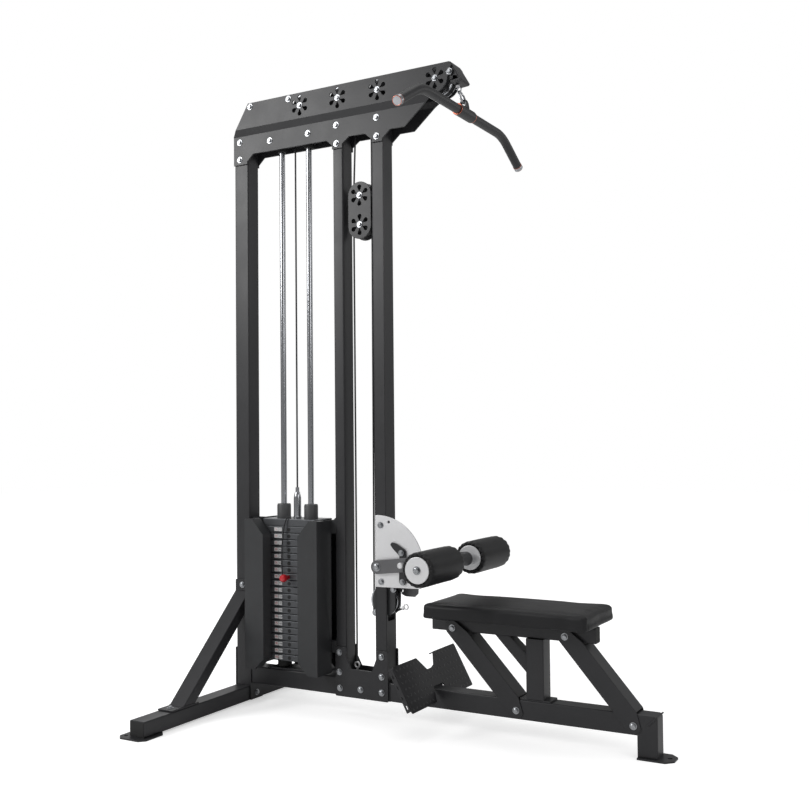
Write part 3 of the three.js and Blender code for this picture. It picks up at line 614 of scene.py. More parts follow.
def label_ink():
    return make_finish("Label ink", (0.45, 0.02, 0.02), 0.5, scale=2000, spread=0.1, strength=0.05)


def board_black():
    return make_finish("Board", (0.02, 0.019, 0.018), 0.7, texture=BRUSHED, scale=200, strength=0.4)


# ---------------------------------------------------------------- geometry nodes
def grown(name, mesh, tree, values, body, finish, nodes=(), smooth=21):
    """Runs a geometry tree on a mesh and keeps its result as a plain mesh."""
    source = bpy.data.objects.new(name + "_source", mesh)
    modifier = source.modifiers.new("grow", "NODES")
    modifier.node_group = tree
    values = {"Finish": finish, **values}
    for item in tree.interface.items_tree:
        if item.in_out == "INPUT" and item.name in values:
            modifier[item.identifier] = values[item.name]
    return finished(name, settled(source), body, finish, nodes, smooth)


def geometry_tree(name, inputs):
    """A geometry tree and its two ends; only the tree if it is there already."""
    if name in bpy.data.node_groups:
        return bpy.data.node_groups[name], None, None
    return new_group(name, "GeometryNodeTree", [("Geometry", "NodeSocketGeometry", None),
                                                ("Finish", "NodeSocketMaterial", None), *inputs],
                     [("Geometry", "NodeSocketGeometry")])


def close_tree(tree, given, out, points, shape, **turned_by):
    """Copies a shape to every point. A tree ends in Realize Instances and Set Material."""
    spread = node(tree, "GeometryNodeInstanceOnPoints", {"Points": points, "Instance": shape,
                                                         **turned_by})
    real = node(tree, "GeometryNodeRealizeInstances", {"Geometry": spread.outputs["Instances"]})
    paint = node(tree, "GeometryNodeSetMaterial", {"Geometry": real.outputs["Geometry"],
                                                   "Material": given.outputs["Finish"]})
    feed(tree, out, {"Geometry": paint.outputs["Geometry"]})
    return tree


def stored(tree, name):
    """A direction that the points carry."""
    return node(tree, "GeometryNodeInputNamedAttribute", {"Name": name},
                data_type="FLOAT_VECTOR").outputs["Attribute"]


def bolt_tree():
    """A washer and a hexagon head at each point, standing along the point's aim."""
    tree, given, out = geometry_tree("Bolts", [
        ("Head", "NodeSocketFloat", 0.007), ("Washer", "NodeSocketFloat", 0.0105),
        ("Height", "NodeSocketFloat", 0.005)])
    if given is None:
        return tree
    width, height = given.outputs["Head"], given.outputs["Height"]

    def share(value, part):
        return node(tree, "ShaderNodeMath", {0: value, 1: part},
                    operation="MULTIPLY").outputs["Value"]

    def raised(shape, rise):
        offset = node(tree, "ShaderNodeCombineXYZ", {"Z": rise})
        return node(tree, "GeometryNodeTransform", {"Geometry": shape.outputs["Mesh"],
                    "Translation": offset.outputs["Vector"]}).outputs["Geometry"]

    washer = node(tree, "GeometryNodeMeshCylinder", {
        "Vertices": 24, "Depth": 0.0016, "Radius": given.outputs["Washer"]})
    head = node(tree, "GeometryNodeMeshCylinder", {"Vertices": 6, "Radius": width, "Depth": height})
    crown = node(tree, "GeometryNodeMeshCone", {
        "Vertices": 24, "Fill Segments": 1, "Radius Bottom": width,
        "Radius Top": share(width, 0.72), "Depth": 0.0012})
    parts = node(tree, "GeometryNodeJoinGeometry")
    for shape in (washer.outputs["Mesh"], raised(head, share(height, 0.5)), raised(crown, height)):
        feed(tree, parts, {"Geometry": shape})
    turn = node(tree, "FunctionNodeAlignRotationToVector", {"Vector": stored(tree, "aim")},
                axis="Z")
    return close_tree(tree, given, out, given.outputs["Geometry"], parts.outputs["Geometry"],
                      Rotation=turn.outputs["Rotation"])


def row_tree():
    """Copies of the given shape, one pitch below the other."""
    tree, given, out = geometry_tree("Row", [("Count", "NodeSocketInt", 5),
                                             ("Pitch", "NodeSocketFloat", 0.023)])
    if given is None:
        return tree
    down = node(tree, "ShaderNodeMath", {0: given.outputs["Pitch"], 1: -1.0}, operation="MULTIPLY")
    step = node(tree, "ShaderNodeCombineXYZ", {"Z": down.outputs["Value"]})
    line = node(tree, "GeometryNodeMeshLine", {"Offset": step.outputs["Vector"],
                                               "Count": given.outputs["Count"]}, mode="OFFSET")
    return close_tree(tree, given, out, line.outputs["Mesh"], given.outputs["Geometry"])


def tread_tree():
    """A raised oval at each point of the given mesh, turned about the plate's normal."""
    tree, given, out = geometry_tree("Tread", [("Length", "NodeSocketFloat", 0.008),
                                               ("Width", "NodeSocketFloat", 0.0022),
                                               ("Rise", "NodeSocketFloat", 0.0012)])
    if given is None:
        return tree
    bump = node(tree, "GeometryNodeMeshUVSphere", {"Segments": 8, "Rings": 4, "Radius": 1.0})
    size = node(tree, "ShaderNodeCombineXYZ", {
        "X": given.outputs["Length"], "Y": given.outputs["Width"], "Z": given.outputs["Rise"]})
    turn = node(tree, "FunctionNodeAlignRotationToVector", {"Vector": stored(tree, "aim")},
                axis="Z")
    spin = node(tree, "FunctionNodeAlignRotationToVector", {
        "Rotation": turn.outputs["Rotation"], "Vector": stored(tree, "run")},
        axis="X", pivot_axis="Z")
    return close_tree(tree, given, out, given.outputs["Geometry"], bump.outputs["Mesh"],
                      Rotation=spin.outputs["Rotation"], Scale=size.outputs["Vector"])


def points_mesh(name, points, **vectors):
    """Loose points, each with the directions that it carries."""
    mesh = bpy.data.meshes.new(name)
    mesh.from_pydata([place(*p) for p in points], [], [])
    for label, values in vectors.items():
        made = mesh.attributes.new(label, "FLOAT_VECTOR", "POINT")
        made.data.foreach_set("vector", [c for v in values for c in v])
    return mesh


def bolts(name, body, spots, size=1.0):
    """Bolt heads at (x, y, z, aim) spots."""
    s = bpy.context.scene.pulldown_fasteners
    aims = {"+X": (1, 0, 0), "-X": (-1, 0, 0), "+Y": (0, 1, 0), "-Y": (0, -1, 0), "+Z": (0, 0, 1)}
    mesh = points_mesh(name, [p[:3] for p in spots], aim=[aims[p[3]] for p in spots])
    return grown(name, mesh, bolt_tree(), {"Head": s.head * size, "Washer": s.washer * size,
                                           "Height": s.height * size}, body, bolt_steel())


# ---------------------------------------------------------------- operators
class PieceOperator:
    """Runs an operator's build."""
    bl_options = {"REGISTER", "UNDO"}

    def execute(self, context):
        self.build(context)
        return {"FINISHED"}


class PULLDOWN_OT_stage(PieceOperator, bpy.types.Operator):
    """Make the floor, the lights and the camera"""
    bl_idname = "pulldown.stage"
    bl_label = "Stage"

    def build(self, context):
        scene = context.scene
        camera = bpy.data.cameras.new("Camera")
        camera.sensor_width, camera.lens = 36, 45.84
        holder = bpy.data.objects.new("Camera", camera)
        scene.collection.objects.link(holder)
        turn = (Matrix.Rotation(math.radians(29.475), 4, "Z")
                @ Matrix.Rotation(math.radians(91.779), 4, "X")
                @ Matrix.Rotation(math.radians(-0.525), 4, "Z"))
        holder.matrix_world = Matrix.Translation((1.578, -2.9358, 0.9249)) @ turn
        scene.camera = holder

        mesh = bpy.data.meshes.new("Floor")
        reach = 14
        mesh.from_pydata([(-reach, -reach, 0), (reach, -reach, 0), (reach, reach, 0),
                          (-reach, reach, 0)], [], [(0, 1, 2, 3)])
        floor = bpy.data.objects.new("Floor", mesh)
        mesh.materials.append(self.floor_finish())
        scene.collection.objects.link(floor)
        self.studio(scene)
        lamps = [("Key", (-3.0, -3.4, 2.9), (0, 0, 0.8), 1.8, 105),
                 ("Fill", (3.8, -1.6, 2.2), (0.3, 0, 0.7), 1.4, 20),
                 ("Rim", (-2.6, 2.6, 2.6), (0, 0, 1.2), 2.0, 24),
                 ("Back", (2.6, 2.8, 2.4), (0.2, 0, 0.9), 1.6, 8)]
        for name, spot, target, size, power in lamps:
            lamp = bpy.data.lights.new(name, "AREA")
            lamp.shape, lamp.size, lamp.energy = "SQUARE", size, power
            obj = bpy.data.objects.new(name, lamp)
            obj.location = spot
            obj.rotation_euler = (Vector(target) - Vector(spot)).to_track_quat("-Z", "Y").to_euler()
            scene.collection.objects.link(obj)
        sky = bpy.data.lights.new("Overhead", "SUN")
        sky.energy, sky.angle = 1.05, math.radians(70)
        scene.collection.objects.link(bpy.data.objects.new("Overhead", sky))
        scene.view_settings.view_transform = "Standard"

    def floor_finish(self):
        """Matt white that stays as bright as the backdrop where nothing shades it."""
        mat = make_finish("Pale floor", (0.84, 0.84, 0.84), 0.6, scale=60, patch=0.4, spread=0.01,
                          strength=0.02, shift=0.03, specular=0.1)
        tree = mat.node_tree
        matt = tree.nodes["Principled BSDF"].outputs["BSDF"]
        glow = node(tree, "ShaderNodeEmission", {"Strength": 0.49})
        both = node(tree, "ShaderNodeAddShader", {0: matt, 1: glow.outputs["Emission"]})
        self.seen_as(tree, matt, both.outputs["Shader"], tree.nodes["Material Output"])
        return mat

    def studio(self, scene):
        """A white backdrop that lights the object only softly."""
        world = bpy.data.worlds.new("Studio")
        scene.world = world
        world.use_nodes = True
        tree = world.node_tree
        soft = tree.nodes["Background"]
        feed(tree, soft, {"Color": (1, 1, 1, 1), "Strength": 0.3})
        drop = node(tree, "ShaderNodeBackground", {"Color": (1, 1, 1, 1), "Strength": 1.0})
        self.seen_as(tree, soft.outputs["Background"], drop.outputs["Background"],
                     tree.nodes["World Output"])

    def seen_as(self, tree, others, camera, out):
        """One shader for camera rays and another for all the rest."""
        ray = node(tree, "ShaderNodeLightPath")
        pick = node(tree, "ShaderNodeMixShader", {"Fac": ray.outputs["Is Camera Ray"], 1: others,
                                                  2: camera})
        feed(tree, out, {"Surface": pick.outputs["Shader"]})


class PULLDOWN_OT_uprights(PieceOperator, bpy.types.Operator):
    """Make the three uprights"""
    bl_idname = "pulldown.uprights"
    bl_label = "Uprights"

    def build(self, context):
        foot, wide = 125.3, (-HALF, HALF)
        coated("Rear upright", [square_tube((0, 60), wide, (55.3, TUBE_TOP), "Z")], "rear_upright")
        coated("Middle upright", [square_tube((421, 461), wide, (foot, TUBE_TOP), "Z")],
               "middle_upright")
        # the front upright is open on two faces where the row cable leaves
        side = rect(*wide, foot, TUBE_TOP)
        slot = rounded(rect(-22.5, 22.5, 322.5, 451.5), 8)
        walls = [slab([side, slot], x, x + 3, "YZ", 0.5) for x in (576, 616)]
        cheeks = [slab([rect(577, 618, foot, TUBE_TOP)], y, y + 3, "XZ", 0.6)
                  for y in (-HALF, HALF - 3)]
        coated("Front upright", walls + cheeks, "front_upright")


class PULLDOWN_OT_base(PieceOperator, bpy.types.Operator):
    """Make the cross foot, the base tube, the bench beam and the gussets"""
    bl_idname = "pulldown.base"
    bl_label = "Base"

    def build(self, context):
        reach, low, high = 554, 65, 125
        ear = rounded([(-35, 488), (-17, 470), (57, 470), (75, 488), (75, 562), (57, 580),
                       (-17, 580), (-35, 562)], 6)
        near = slab([[(x, -y) for x, y in ear][::-1], circle(-15, -555, 6)], 0, PLATE, "XY", 0.6)
        tie = slab([rect(-HALF, HALF, 6, 185, 2)], -PLATE - 0.3, -0.3, "YZ", 0.6)
        coated("Cross foot", [square_tube((0, 60), (-reach, reach), (PLATE, 55), "Y"), near,
                              flipped(near), tie], "cross_foot")
        piece("Cross foot caps", [block((3, 57), (s * reach - 1, s * reach + 1), (8, 52), 0.8)
                                  for s in (-1, 1)], "frame", rubber())
        flange = rect(-HALF, HALF, low, high, 1)
        coated("Base tube", [square_tube((64, 620), (-HALF, HALF), (low, high), "X"),
                             slab([rect(-34, 34, 6, 185, 3)], 60.3, 65.3, "YZ", 0.6),
                             slab([flange], 619, 619 + PLATE, "YZ", 0.6)], "base_tube")
        self.bench_beam(flange)
        outline = rounded([(421, 63), (624, 63), (624, 226), (582, 226), (580, 199), (563, 156),
                           (483, 157), (463, 194), (463, 226), (421, 226)], 4)
        coated("Gusset near", [side_plate([outline], 0.6)], "gusset_near")
        coated("Gusset far", [slab([outline], FACE, FACE + PLATE, "XZ", 0.6)], "gusset_far")
        x = 485
        nut = slab([circle(x, 0, 10, 6)], high + 0.3, 132, "XY", 0.8)
        stem = turned([(0, 131), (4, 131), (4, 157), (0, 157)], (x, 0, 0), "Z", 20)
        piece("Anchor eye", [eye((x, 0, 165), 9, 3), nut, stem], "frame", zinc(), ["anchor_eye"])

    def bench_beam(self, flange):
        """The beam with its mitred end leg, which stands on a foot of its own."""
        skin = [(628, 65), (1444, 65), (1444, 4), (1504, 4), (1504, 116), (1502.6, 120.5),
                (1499.5, 123.6), (1495, 125), (628, 125)]
        foot = slab([rounded([(1445, -42), (1526, -42), (1548, -20), (1548, 20), (1526, 42),
                              (1445, 42)], 3), circle(1530, 0, 7)], 0, PLATE, "XY", 0.6)
        # the weld runs up the mitre in small waves
        weld = tube([(1476 + 2 * k + 0.6 * (k % 2), -HALF - 0.2, 97 + 2 * k)
                     for k in range(15)], 2.3)
        coated("Bench beam", [slab([skin], -HALF, HALF, "XZ", 3.5),
                              slab([flange], 624.6, 624.6 + PLATE, "YZ", 0.6), foot, weld,
                              flipped(weld)], "bench_beam")


class PULLDOWN_OT_braces(PieceOperator, bpy.types.Operator):
    """Make the two rear braces"""
    bl_idname = "pulldown.braces"
    bl_label = "Rear braces"

    def build(self, context):
        bar = [(-34.5, 389), (-377.5, 60), (-318.5, 60), (-34.5, 331)]
        near = [slab([bar], 0, 60, "YZ", 3.5), side_plate([rect(0, 60, 318, 425, 3)]),
                slab([rect(0, 60, -432, -300, 3)], 55.3, 55.3 + PLATE, "XY")]
        for y, z, bow_y, bow_z in ((-36.2, 389, 0, 1), (-379, 61, -1, 0)):
            near.append(tube([(2, y, z), (30, y + bow_y, z + bow_z), (58, y, z)], 1.8))
        far = [flipped(shape) for shape in near]
        coated("Rear brace near", near, "rear_brace_near")
        coated("Rear brace far", far, "rear_brace_far")


class PULLDOWN_OT_head(PieceOperator, bpy.types.Operator):
    """Make the head plates, the rod bracket and the cable stop"""
    bl_idname = "pulldown.head"
    bl_label = "Head"

    def build(self, context):
        outline = [(0, 1901), (60, 1901), (60, 1910), (86, 1934), (398, 1934), (421, 1914),
                   (421, 1901), (462, 1901), (462, 1915), (489, 1935), (551, 1935), (579, 1912),
                   (579, 1901), (619, 1901), (619, 1909), (649, 1935), (704, 1935), (789, 2008),
                   (806, 2022)] + arc(TOP_PULLEYS[-1], TOP_Z, 46, -82, -3, 14) + [
                   (871, 2072), (880, 2106), (873, 2116), (70, 2115), (0, 2004)]
        holes = [hole for x in TOP_PULLEYS for hole in petals(x, TOP_Z)]
        near = side_plate([outline, *holes], 0.6)
        # the upper half is bent outwards, in metres
        bend, end, out = 2.002, 2.026, 0.008
        for height in (bend, end):
            bmesh.ops.bisect_plane(near, geom=near.verts[:] + near.edges[:] + near.faces[:],
                                   dist=1e-6, plane_co=(0, 0, height), plane_no=(0, 0, 1))
        for vert in near.verts:
            vert.co.y -= out * min(1, max(0, (vert.co.z - bend) / (end - bend)))
        far = flipped(near)
        coated("Head plate near", [near], "top_plate_near", 18)
        coated("Head plate far", [far], "top_plate_far", 18)
        piece("Rod bracket", [from_node("rod_top_bracket")], "frame", powder_coat(),
              ["rod_top_bracket"])
        piece("Cable stop", [from_node("cable_stop", 0.8)], "frame", powder_coat(), ["cable_stop"])


class PULLDOWN_OT_covers(PieceOperator, bpy.types.Operator):
    """Make the folded covers round the weight stack"""
    bl_idname = "pulldown.covers"
    bl_label = "Stack covers"

    def build(self, context):
        for end in RODS:
            piece("Stack cover " + end, [from_node("shroud_" + end, 0.7)], "frame", cover_paint(),
                  ["shroud_" + end])


class PULLDOWN_OT_stack(PieceOperator, bpy.types.Operator):
    """Make the weight plates, their numbers, the guide rods and the selector"""
    bl_idname = "pulldown.stack"
    bl_label = "Weight stack"

    def build(self, context):
        s = context.scene.pulldown_stack
        piece("Base plate of the stack", [from_node("stack_base_plate", 0.8)], "frame",
              powder_coat(), ["stack_base_plate"])
        for name, x in RODS.items():
            self.rod(name, x)
        holes = [circle(x, 0, 11, 32) for x in RODS.values()] + [circle(STACK_X, 0, 9.6, 32)]
        outline = [rect(136, 354, -STACK_HALF, STACK_HALF, 3), *holes]
        for name, first, count, body in (("lifted", 0, s.picked, "stack"),
                                         ("resting", s.picked, s.count - s.picked, "frame")):
            mesh = mesh_from(slab(outline, 599.2, 619.8, "XY", 1.4), "plate")
            mesh.transform(Matrix.Translation((0, 0, -first * s.pitch)))
            grown("Weight plates " + name, mesh, row_tree(), {"Count": count, "Pitch": s.pitch},
                  body, plate_paint(), ["plates_" + name])
            self.numbers(name, first, count, body, s)
        piece("Head weight", [slab(outline, STACK_TOP, 645.5, "XY", 1.6)], "stack", plate_paint(),
              ["head_plate"])
        guide = [(11, 645), (24, 645), (24, 689), (22, 695), (11.5, 695)]
        piece("Guide bushings", [turned(guide, (x, 0, 0), "Z", open_ends=True)
                                 for x in RODS.values()], "stack", bushing_plastic())
        self.selector(STACK_TOP - (s.picked - 0.5) * s.pitch * 1000 - 0.6)

    def rod(self, name, x):
        """A guide rod with the collar that holds its top and the bumper at its foot."""
        rod = [(0, 132.5), (9.4, 132.5), (10, 133.5), (10, 1930), (0, 1930)]
        collar = [(10, 1930), (14, 1930), (15, 1931), (15, 1948), (14, 1949), (0, 1949)]
        bumper = [(10.6, 133), (23, 133), (25, 135), (24, 147), (25, 158), (23, 160.4),
                  (10.6, 160.4)]
        piece("Guide rod " + name, [turned(rod, (x, 0, 0), "Z")], "frame", chrome(),
              ["guide_rod_" + name])
        piece("Rod collar " + name, [turned(collar, (x, 0, 0), "Z")], "frame", rubber())
        piece("Bumper " + name, [turned(bumper, (x, 0, 0), "Z", open_ends=True)], "frame", rubber(),
              ["bumper_" + name])

    def selector(self, pin_z):
        """The stem that hangs from the head weight, and the pin with its knob."""
        stem = [(0, 163), (9, 163), (9, 648), (0, 648)]
        socket = [(0, 646), (14, 646), (14, 652), (12.8, 654), (12.8, 716), (9, 734), (6.5, 738),
                  (6.5, 752), (0, 752)]
        piece("Selector stem", [turned(stem, (STACK_X, 0, 0), "Z"),
                                turned(socket, (STACK_X, 0, 0), "Z")],
              "stack", chrome(), ["selector_stem"])
        pin = [(0, 5.5), (3.6, 5.5), (4.2, 4), (4.2, -56), (0, -56)]
        knob = [(0, -56), (6.5, -56), (6.8, -69), (9, -71.5), (11.6, -75), (12.8, -79), (13.2, -84),
                (12.6, -89), (10.8, -93.2), (7.6, -96), (4, -97), (0, -97.2)]
        piece("Selector pin", [turned(pin, (STACK_X, 0, pin_z))], "selector_pin", chrome(),
              ["selector_pin"])
        piece("Selector knob", [turned(knob, (STACK_X, 0, pin_z))], "selector_pin", red_knob())
        self.lanyard(pin_z)

    def lanyard(self, pin_z):
        """A cord from the head weight's front edge down to the knob."""
        thick = 4.8
        bends = [Vector(p) for p in (
            (252, -48, 648.3), (247, -53, 652.5), (239, -57.5, 647), (232, -61, 622),
            (229, -65, 585), (228, -69, 545), (231, -75, 500), (237, -81, pin_z + 24),
            (240, -84, pin_z + 11.5))]
        path = smooth_line(bends, 5)
        cord = piece("Pin lanyard", [tube(path, thick / 2)], None, cable_coat())
        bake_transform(cord)
        length = sum((b - a).length for a, b in zip(path, path[1:])) / 1000
        [place(*p) for p in path]

    def numbers(self, name, first, count, body, s):
        """Two cards on each plate's front edge, the same load in two units."""
        middle, front, pitch = 609.5, -STACK_HALF, s.pitch * 1000
        pounds = 2.2046            # in a kilogram
        for x, label, finish in ((184, "Light", label_card()), (200.5, "Pale", label_card())):
            card = slab([rect(x, x + 15, middle - 6.3, middle + 6.3, 1.5)], front - 0.5,
                        front + 0.1, "XZ", 0.15)
            mesh = mesh_from(card, "card")
            mesh.transform(Matrix.Translation((0, 0, -first * s.pitch)))
            grown(f"{label} cards {name}", mesh, row_tree(), {"Count": count, "Pitch": s.pitch},
                  body, finish)
        for x, label, unit, finish in ((191.5, "Red", 1.0, label_ink()),
                                       (208, "Black", pounds, label_dark())):
            whole = bmesh.new()
            for i in range(first, first + count):
                text = bpy.data.curves.new("number", "FONT")
                text.body = str(round((i + 1) * s.step * unit))
                text.size, text.extrude = 0.0102, 0.00008
                text.align_x, text.align_y = "CENTER", "CENTER"
                mesh = settled(bpy.data.objects.new("number", text))
                mesh.transform(Matrix.Translation(place(x, front - 0.62, middle - i * pitch))
                               @ Matrix.Rotation(math.pi / 2, 4, "X"))
                whole.from_mesh(mesh)
                bpy.data.meshes.remove(mesh)
            piece(f"{label} numbers {name}", [whole], body, finish)
        # each pin hole is a disc in the rubber finish: its raised rim is a rubber ring, and its flat
        # black middle is painted shade where the hole goes into the plate
        rim = [(0, 0.2), (5.4, 0.2), (6.6, 0), (6.6, -0.5), (5.2, -0.5), (5.0, -0.1), (0, -0.1)]
        holes = [turned(rim, (STACK_X, front, middle - i * pitch), "Y", 20)
                 for i in range(first, first + count)]
        piece("Pin holes " + name, holes, body, rubber())


class PULLDOWN_OT_pulleys(PieceOperator, bpy.types.Operator):
    """Make the seven pulleys and the floating block"""
    bl_idname = "pulldown.pulleys"
    bl_label = "Pulleys"

    def wheel(self, name, node_name, x, z, groove, rim, half, hub):
        """A grooved wheel with a metal rim; half and hub are its half widths, rim and axle."""
        g = groove - 4.2
        steps = 10
        # the groove is a half round for the cable
        valley = [(g + 3.2 - 3.2 * math.cos(math.radians(90 * (1 - abs(k)))), 3.4 * k)
                  for k in (i / steps * 2 - 1 for i in range(steps + 1))]
        profile = [(6.6, -hub), (11.2, -hub), (12, -hub + 0.8), (12, -half + 3), (g - 9, -half + 3),
                   (g - 6, -half + 1.2), (rim - 1, -half), (rim, -half + 0.8), *valley,
                   (rim, half - 0.8), (rim - 1, half), (g - 6, half - 1.2), (g - 9, half - 3),
                   (12, half - 3), (12, hub - 0.8), (11.2, hub), (6.6, hub)]
        piece(name, [turned(profile, (x, 0, z), "Y", 64, open_ends=True)], node_name, wheel_nylon(),
              [node_name])
        trim = [turned([(rim - 5, s * (half - 0.2)), (rim - 5, s * (half + 0.3)),
                        (rim - 0.6, s * (half + 0.3)), (rim + 0.3, s * (half - 0.6)),
                        (rim + 0.3, s * (half - 3.4)), (rim - 0.8, s * (half - 3.4))], (x, 0, z),
                       "Y", 64, open_ends=True) for s in (-1, 1)]
        piece(name + " rim", trim, node_name, chrome())

    def build(self, context):
        for i, x in enumerate(TOP_PULLEYS, 1):
            self.wheel(f"Top pulley {i}", f"top_pulley_{i}", x, TOP_Z, TOP_GROOVE, 52, 14, 37.8)
        for name, z in (("upper", FLOAT_HIGH), ("lower", FLOAT_LOW)):
            self.wheel("Floating pulley " + name, "float_pulley_" + name, FLOAT_X, z, FLOAT_GROOVE,
                       40, 12, 16.6)
        self.wheel("Low pulley", "low_pulley", LOW_X, LOW_Z, LOW_GROOVE, 50, 12, 16.6)
        cheek = stadium((FLOAT_X, FLOAT_LOW - 3.5), (FLOAT_X, FLOAT_HIGH + 1.5), 44.5)
        near = slab([cheek, *petals(FLOAT_X, FLOAT_LOW), *petals(FLOAT_X, FLOAT_HIGH)], -22, -17)
        web = block((FLOAT_X - 25, FLOAT_X + 25), (-18, 18), (1681.5, 1689.5), 0.6)
        piece("Floating block", [near, flipped(near), web], "float_block", powder_coat(),
              ["float_block"])
        bolts("Floating block bolts", "float_block",
              [(FLOAT_X, s * 22.6, z, aim) for z in (FLOAT_LOW, FLOAT_HIGH) for s, aim in SIDES],
              0.95)
        guard = slab([arc(605, 378, 40, -90, 0, 12) + arc(635, 426, 10, 0, 90, 5)
                      + arc(600, 396, 40, 90, 180, 12) + arc(570, 348, 10, 180, 270, 5)], -20, -17)
        spacers = [turned([(0, -18), (3, -18), (3, 18), (0, 18)], (x, 0, z), sides=20)
                   for x, z in ((567, 344), (638, 430))]
        piece("Low pulley guard", [guard, flipped(guard), *spacers], "frame", cover_paint(),
              ["low_pulley_guard"])


class PULLDOWN_OT_cables(PieceOperator, bpy.types.Operator):
    """Make the two cables"""
    bl_idname = "pulldown.cables"
    bl_label = "Cables"

    def line(self, name, route, nodes):
        """A stretch of 6 mm cable."""
        return piece(name, [tube(route, 3)], None, cable_coat(), nodes)

    def build(self, context):
        def flat(points):
            return [(x, 0, z) for x, z in points]

        def over(x, start, end):
            return arc(x, TOP_Z, TOP_GROOVE, start, end)

        one, two, three, four = TOP_PULLEYS
        run = self.line("Cable stack run", flat([(STACK_X, 752), (STACK_X, 1400), (STACK_X, TOP_Z)]),
                        ["lat_cable_stack_run"])
        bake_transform(run)
        rear = self.line("Cable rear", flat(over(one, 180, 90) + over(two, 90, 2)), ["lat_cable_rear"])
        front = self.line("Cable front", flat(over(three, 180, 90) + over(four, 90, 20)),
                          ["lat_cable_front"])
        low_turn = arc(LOW_X, LOW_Z, LOW_GROOVE, 180, 294, 24)
        leaving = self.line("Row cable exit", flat(low_turn) + [along_row(20)], ["row_cable_exit"])
        for part in (rear, front, leaving):
            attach(part, "frame")
        high_turn = arc(FLOAT_X, FLOAT_HIGH, FLOAT_GROOVE, 180, 360, 28)
        loop = self.line("Cable loop", flat([over(two, 90, 2)[-1], *high_turn,
                                             (three - TOP_GROOVE, TOP_Z)]), ["lat_cable_loop"])
        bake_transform(loop)
        block_turn = arc(FLOAT_X, FLOAT_LOW, FLOAT_GROOVE, 180, 0, 28)
        low = self.line("Row cable loop", flat([(485, 176), *block_turn,
                                                (LOW_X - LOW_GROOVE, LOW_Z)]), ["row_cable_loop"])
        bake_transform(low)
        pull = self.line("Bar cable", [along_pull(t) for t in (0, 20, 41)], ())
        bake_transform(pull)
        a, b = along_pull(40.5), along_pull(47)
        stop = tube([a + (b - a) * t for t in (0, 0.12, 0.3, 0.8, 1)], 6, 24,
                    radii=(4.6, 6.1, 6.5, 6.5, 5.2))
        piece("Bar cable stop", [stop], "bar_cable", zinc(), ["lat_cable_end"])
        row = self.line("Row cable", [along_row(t) for t in (20, 34, 48)], ())
        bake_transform(row)
        ferrule = tube([along_row(47.5), along_row(54)], 6, 24, radii=(6.4, 5))
        piece("Row cable eye", [ferrule, eye(along_row(62), 7.8, 2.2)], "row_cable", zinc(),
              ["row_cable_end"])


class PULLDOWN_OT_bar(PieceOperator, bpy.types.Operator):
    """Make the pull bar and its hook"""
    bl_idname = "pulldown.bar"
    bl_label = "Pull bar"

    def build(self, context):
        bend, end, drop, thick = 289, 433, 81, 15
        route = soft_path([(BAR_X, -end, BAR_Z - drop), (BAR_X, -bend, BAR_Z),
                           (BAR_X, bend, BAR_Z), (BAR_X, end, BAR_Z - drop)], 46, 10)
        piece("Pull bar", [tube(route, thick, 32)], "bar", powder_coat(), ["lat_bar"])
        caps, rims = [], []
        across = Vector((1, 0, 0))
        for s in (-1, 1):
            tip = Vector((BAR_X, s * end, BAR_Z - drop))
            out = Vector((0, s * (end - bend), -drop)).normalized()
            side = out.cross(across).normalized()
            caps.append(tube([tip + out * t for t in (-13, -12, 0.2, 1.4, 1.7)], thick, 32,
                             radii=(15.1, 15.9, 15.9, 14.6, 12.2)))
            rims.append(tube([tip + out * 1.5 + across * c + side * d
                              for c, d in circle(0, 0, 13.8, 24)], 0.9, closed=True))
            rims.append(tube([tip - out * t for t in (14.6, 14, 13)], thick, 32,
                             radii=(15.1, 15.8, 15.8)))
        piece("Bar end caps", caps, "bar", chrome())
        sleeve = turned([(thick, -50), (18, -50), (19, -49), (19, 49), (18, 50), (thick, 50)],
                        (BAR_X, 0, BAR_Z), open_ends=True)
        x, z = along_pull(109).xz
        lug = slab([rounded([(BAR_X - 17, BAR_Z + 10), (BAR_X + 17, BAR_Z + 10), (x + 14, z),
                             (x + 9, z + 11), (x - 4, z + 14), (x - 12, z + 8), (x - 14, z)], 5),
                    circle(x, z, 7.8)], -5, 5, "XZ", 1.2)
        piece("Bar sleeve", [sleeve, lug], "bar", powder_coat())
        rings = [turned([(thick, y), (18.2, y), (18.2, y + 2.5), (thick, y + 2.5)],
                        (BAR_X, 0, BAR_Z), open_ends=True) for y in (-53, 50.5)]
        piece("Bar rings", rings + rims, "bar", copper_ring())
        self.hook(along_pull(64.4), along_pull(107.6))

    def hook(self, top, low):
        """A closed link with a gate on one side and an eye above it."""
        wide = 14
        down = (low - top).normalized()
        middle, reach = (top + low) / 2, (low - top).length / 2 - wide
        ring = []
        for sign, start in ((-1, 0), (1, 180)):
            for across, along in arc(0, 0, wide, start, start + 180, 12):
                ring.append(middle + down * (sign * reach - along) + Vector((0, across, 0)))
        gate = turned([(0, -9), (5.2, -9), (5.2, 9), (0, 9)], (0, 0, 0), "Z", 24)
        turn = (Matrix.Translation(place(*(middle + Vector((0, wide, 0)))))
                @ Matrix.Rotation(-PULL, 4, "Y") @ Matrix.Translation(-place(0, 0, 0)))
        bmesh.ops.transform(gate, verts=gate.verts, matrix=turn)
        piece("Hook", [tube(ring, 3.4, closed=True), eye(top - down * 7, 7.3, 2.2), gate], "bar",
              chrome(), ["carabiner"])


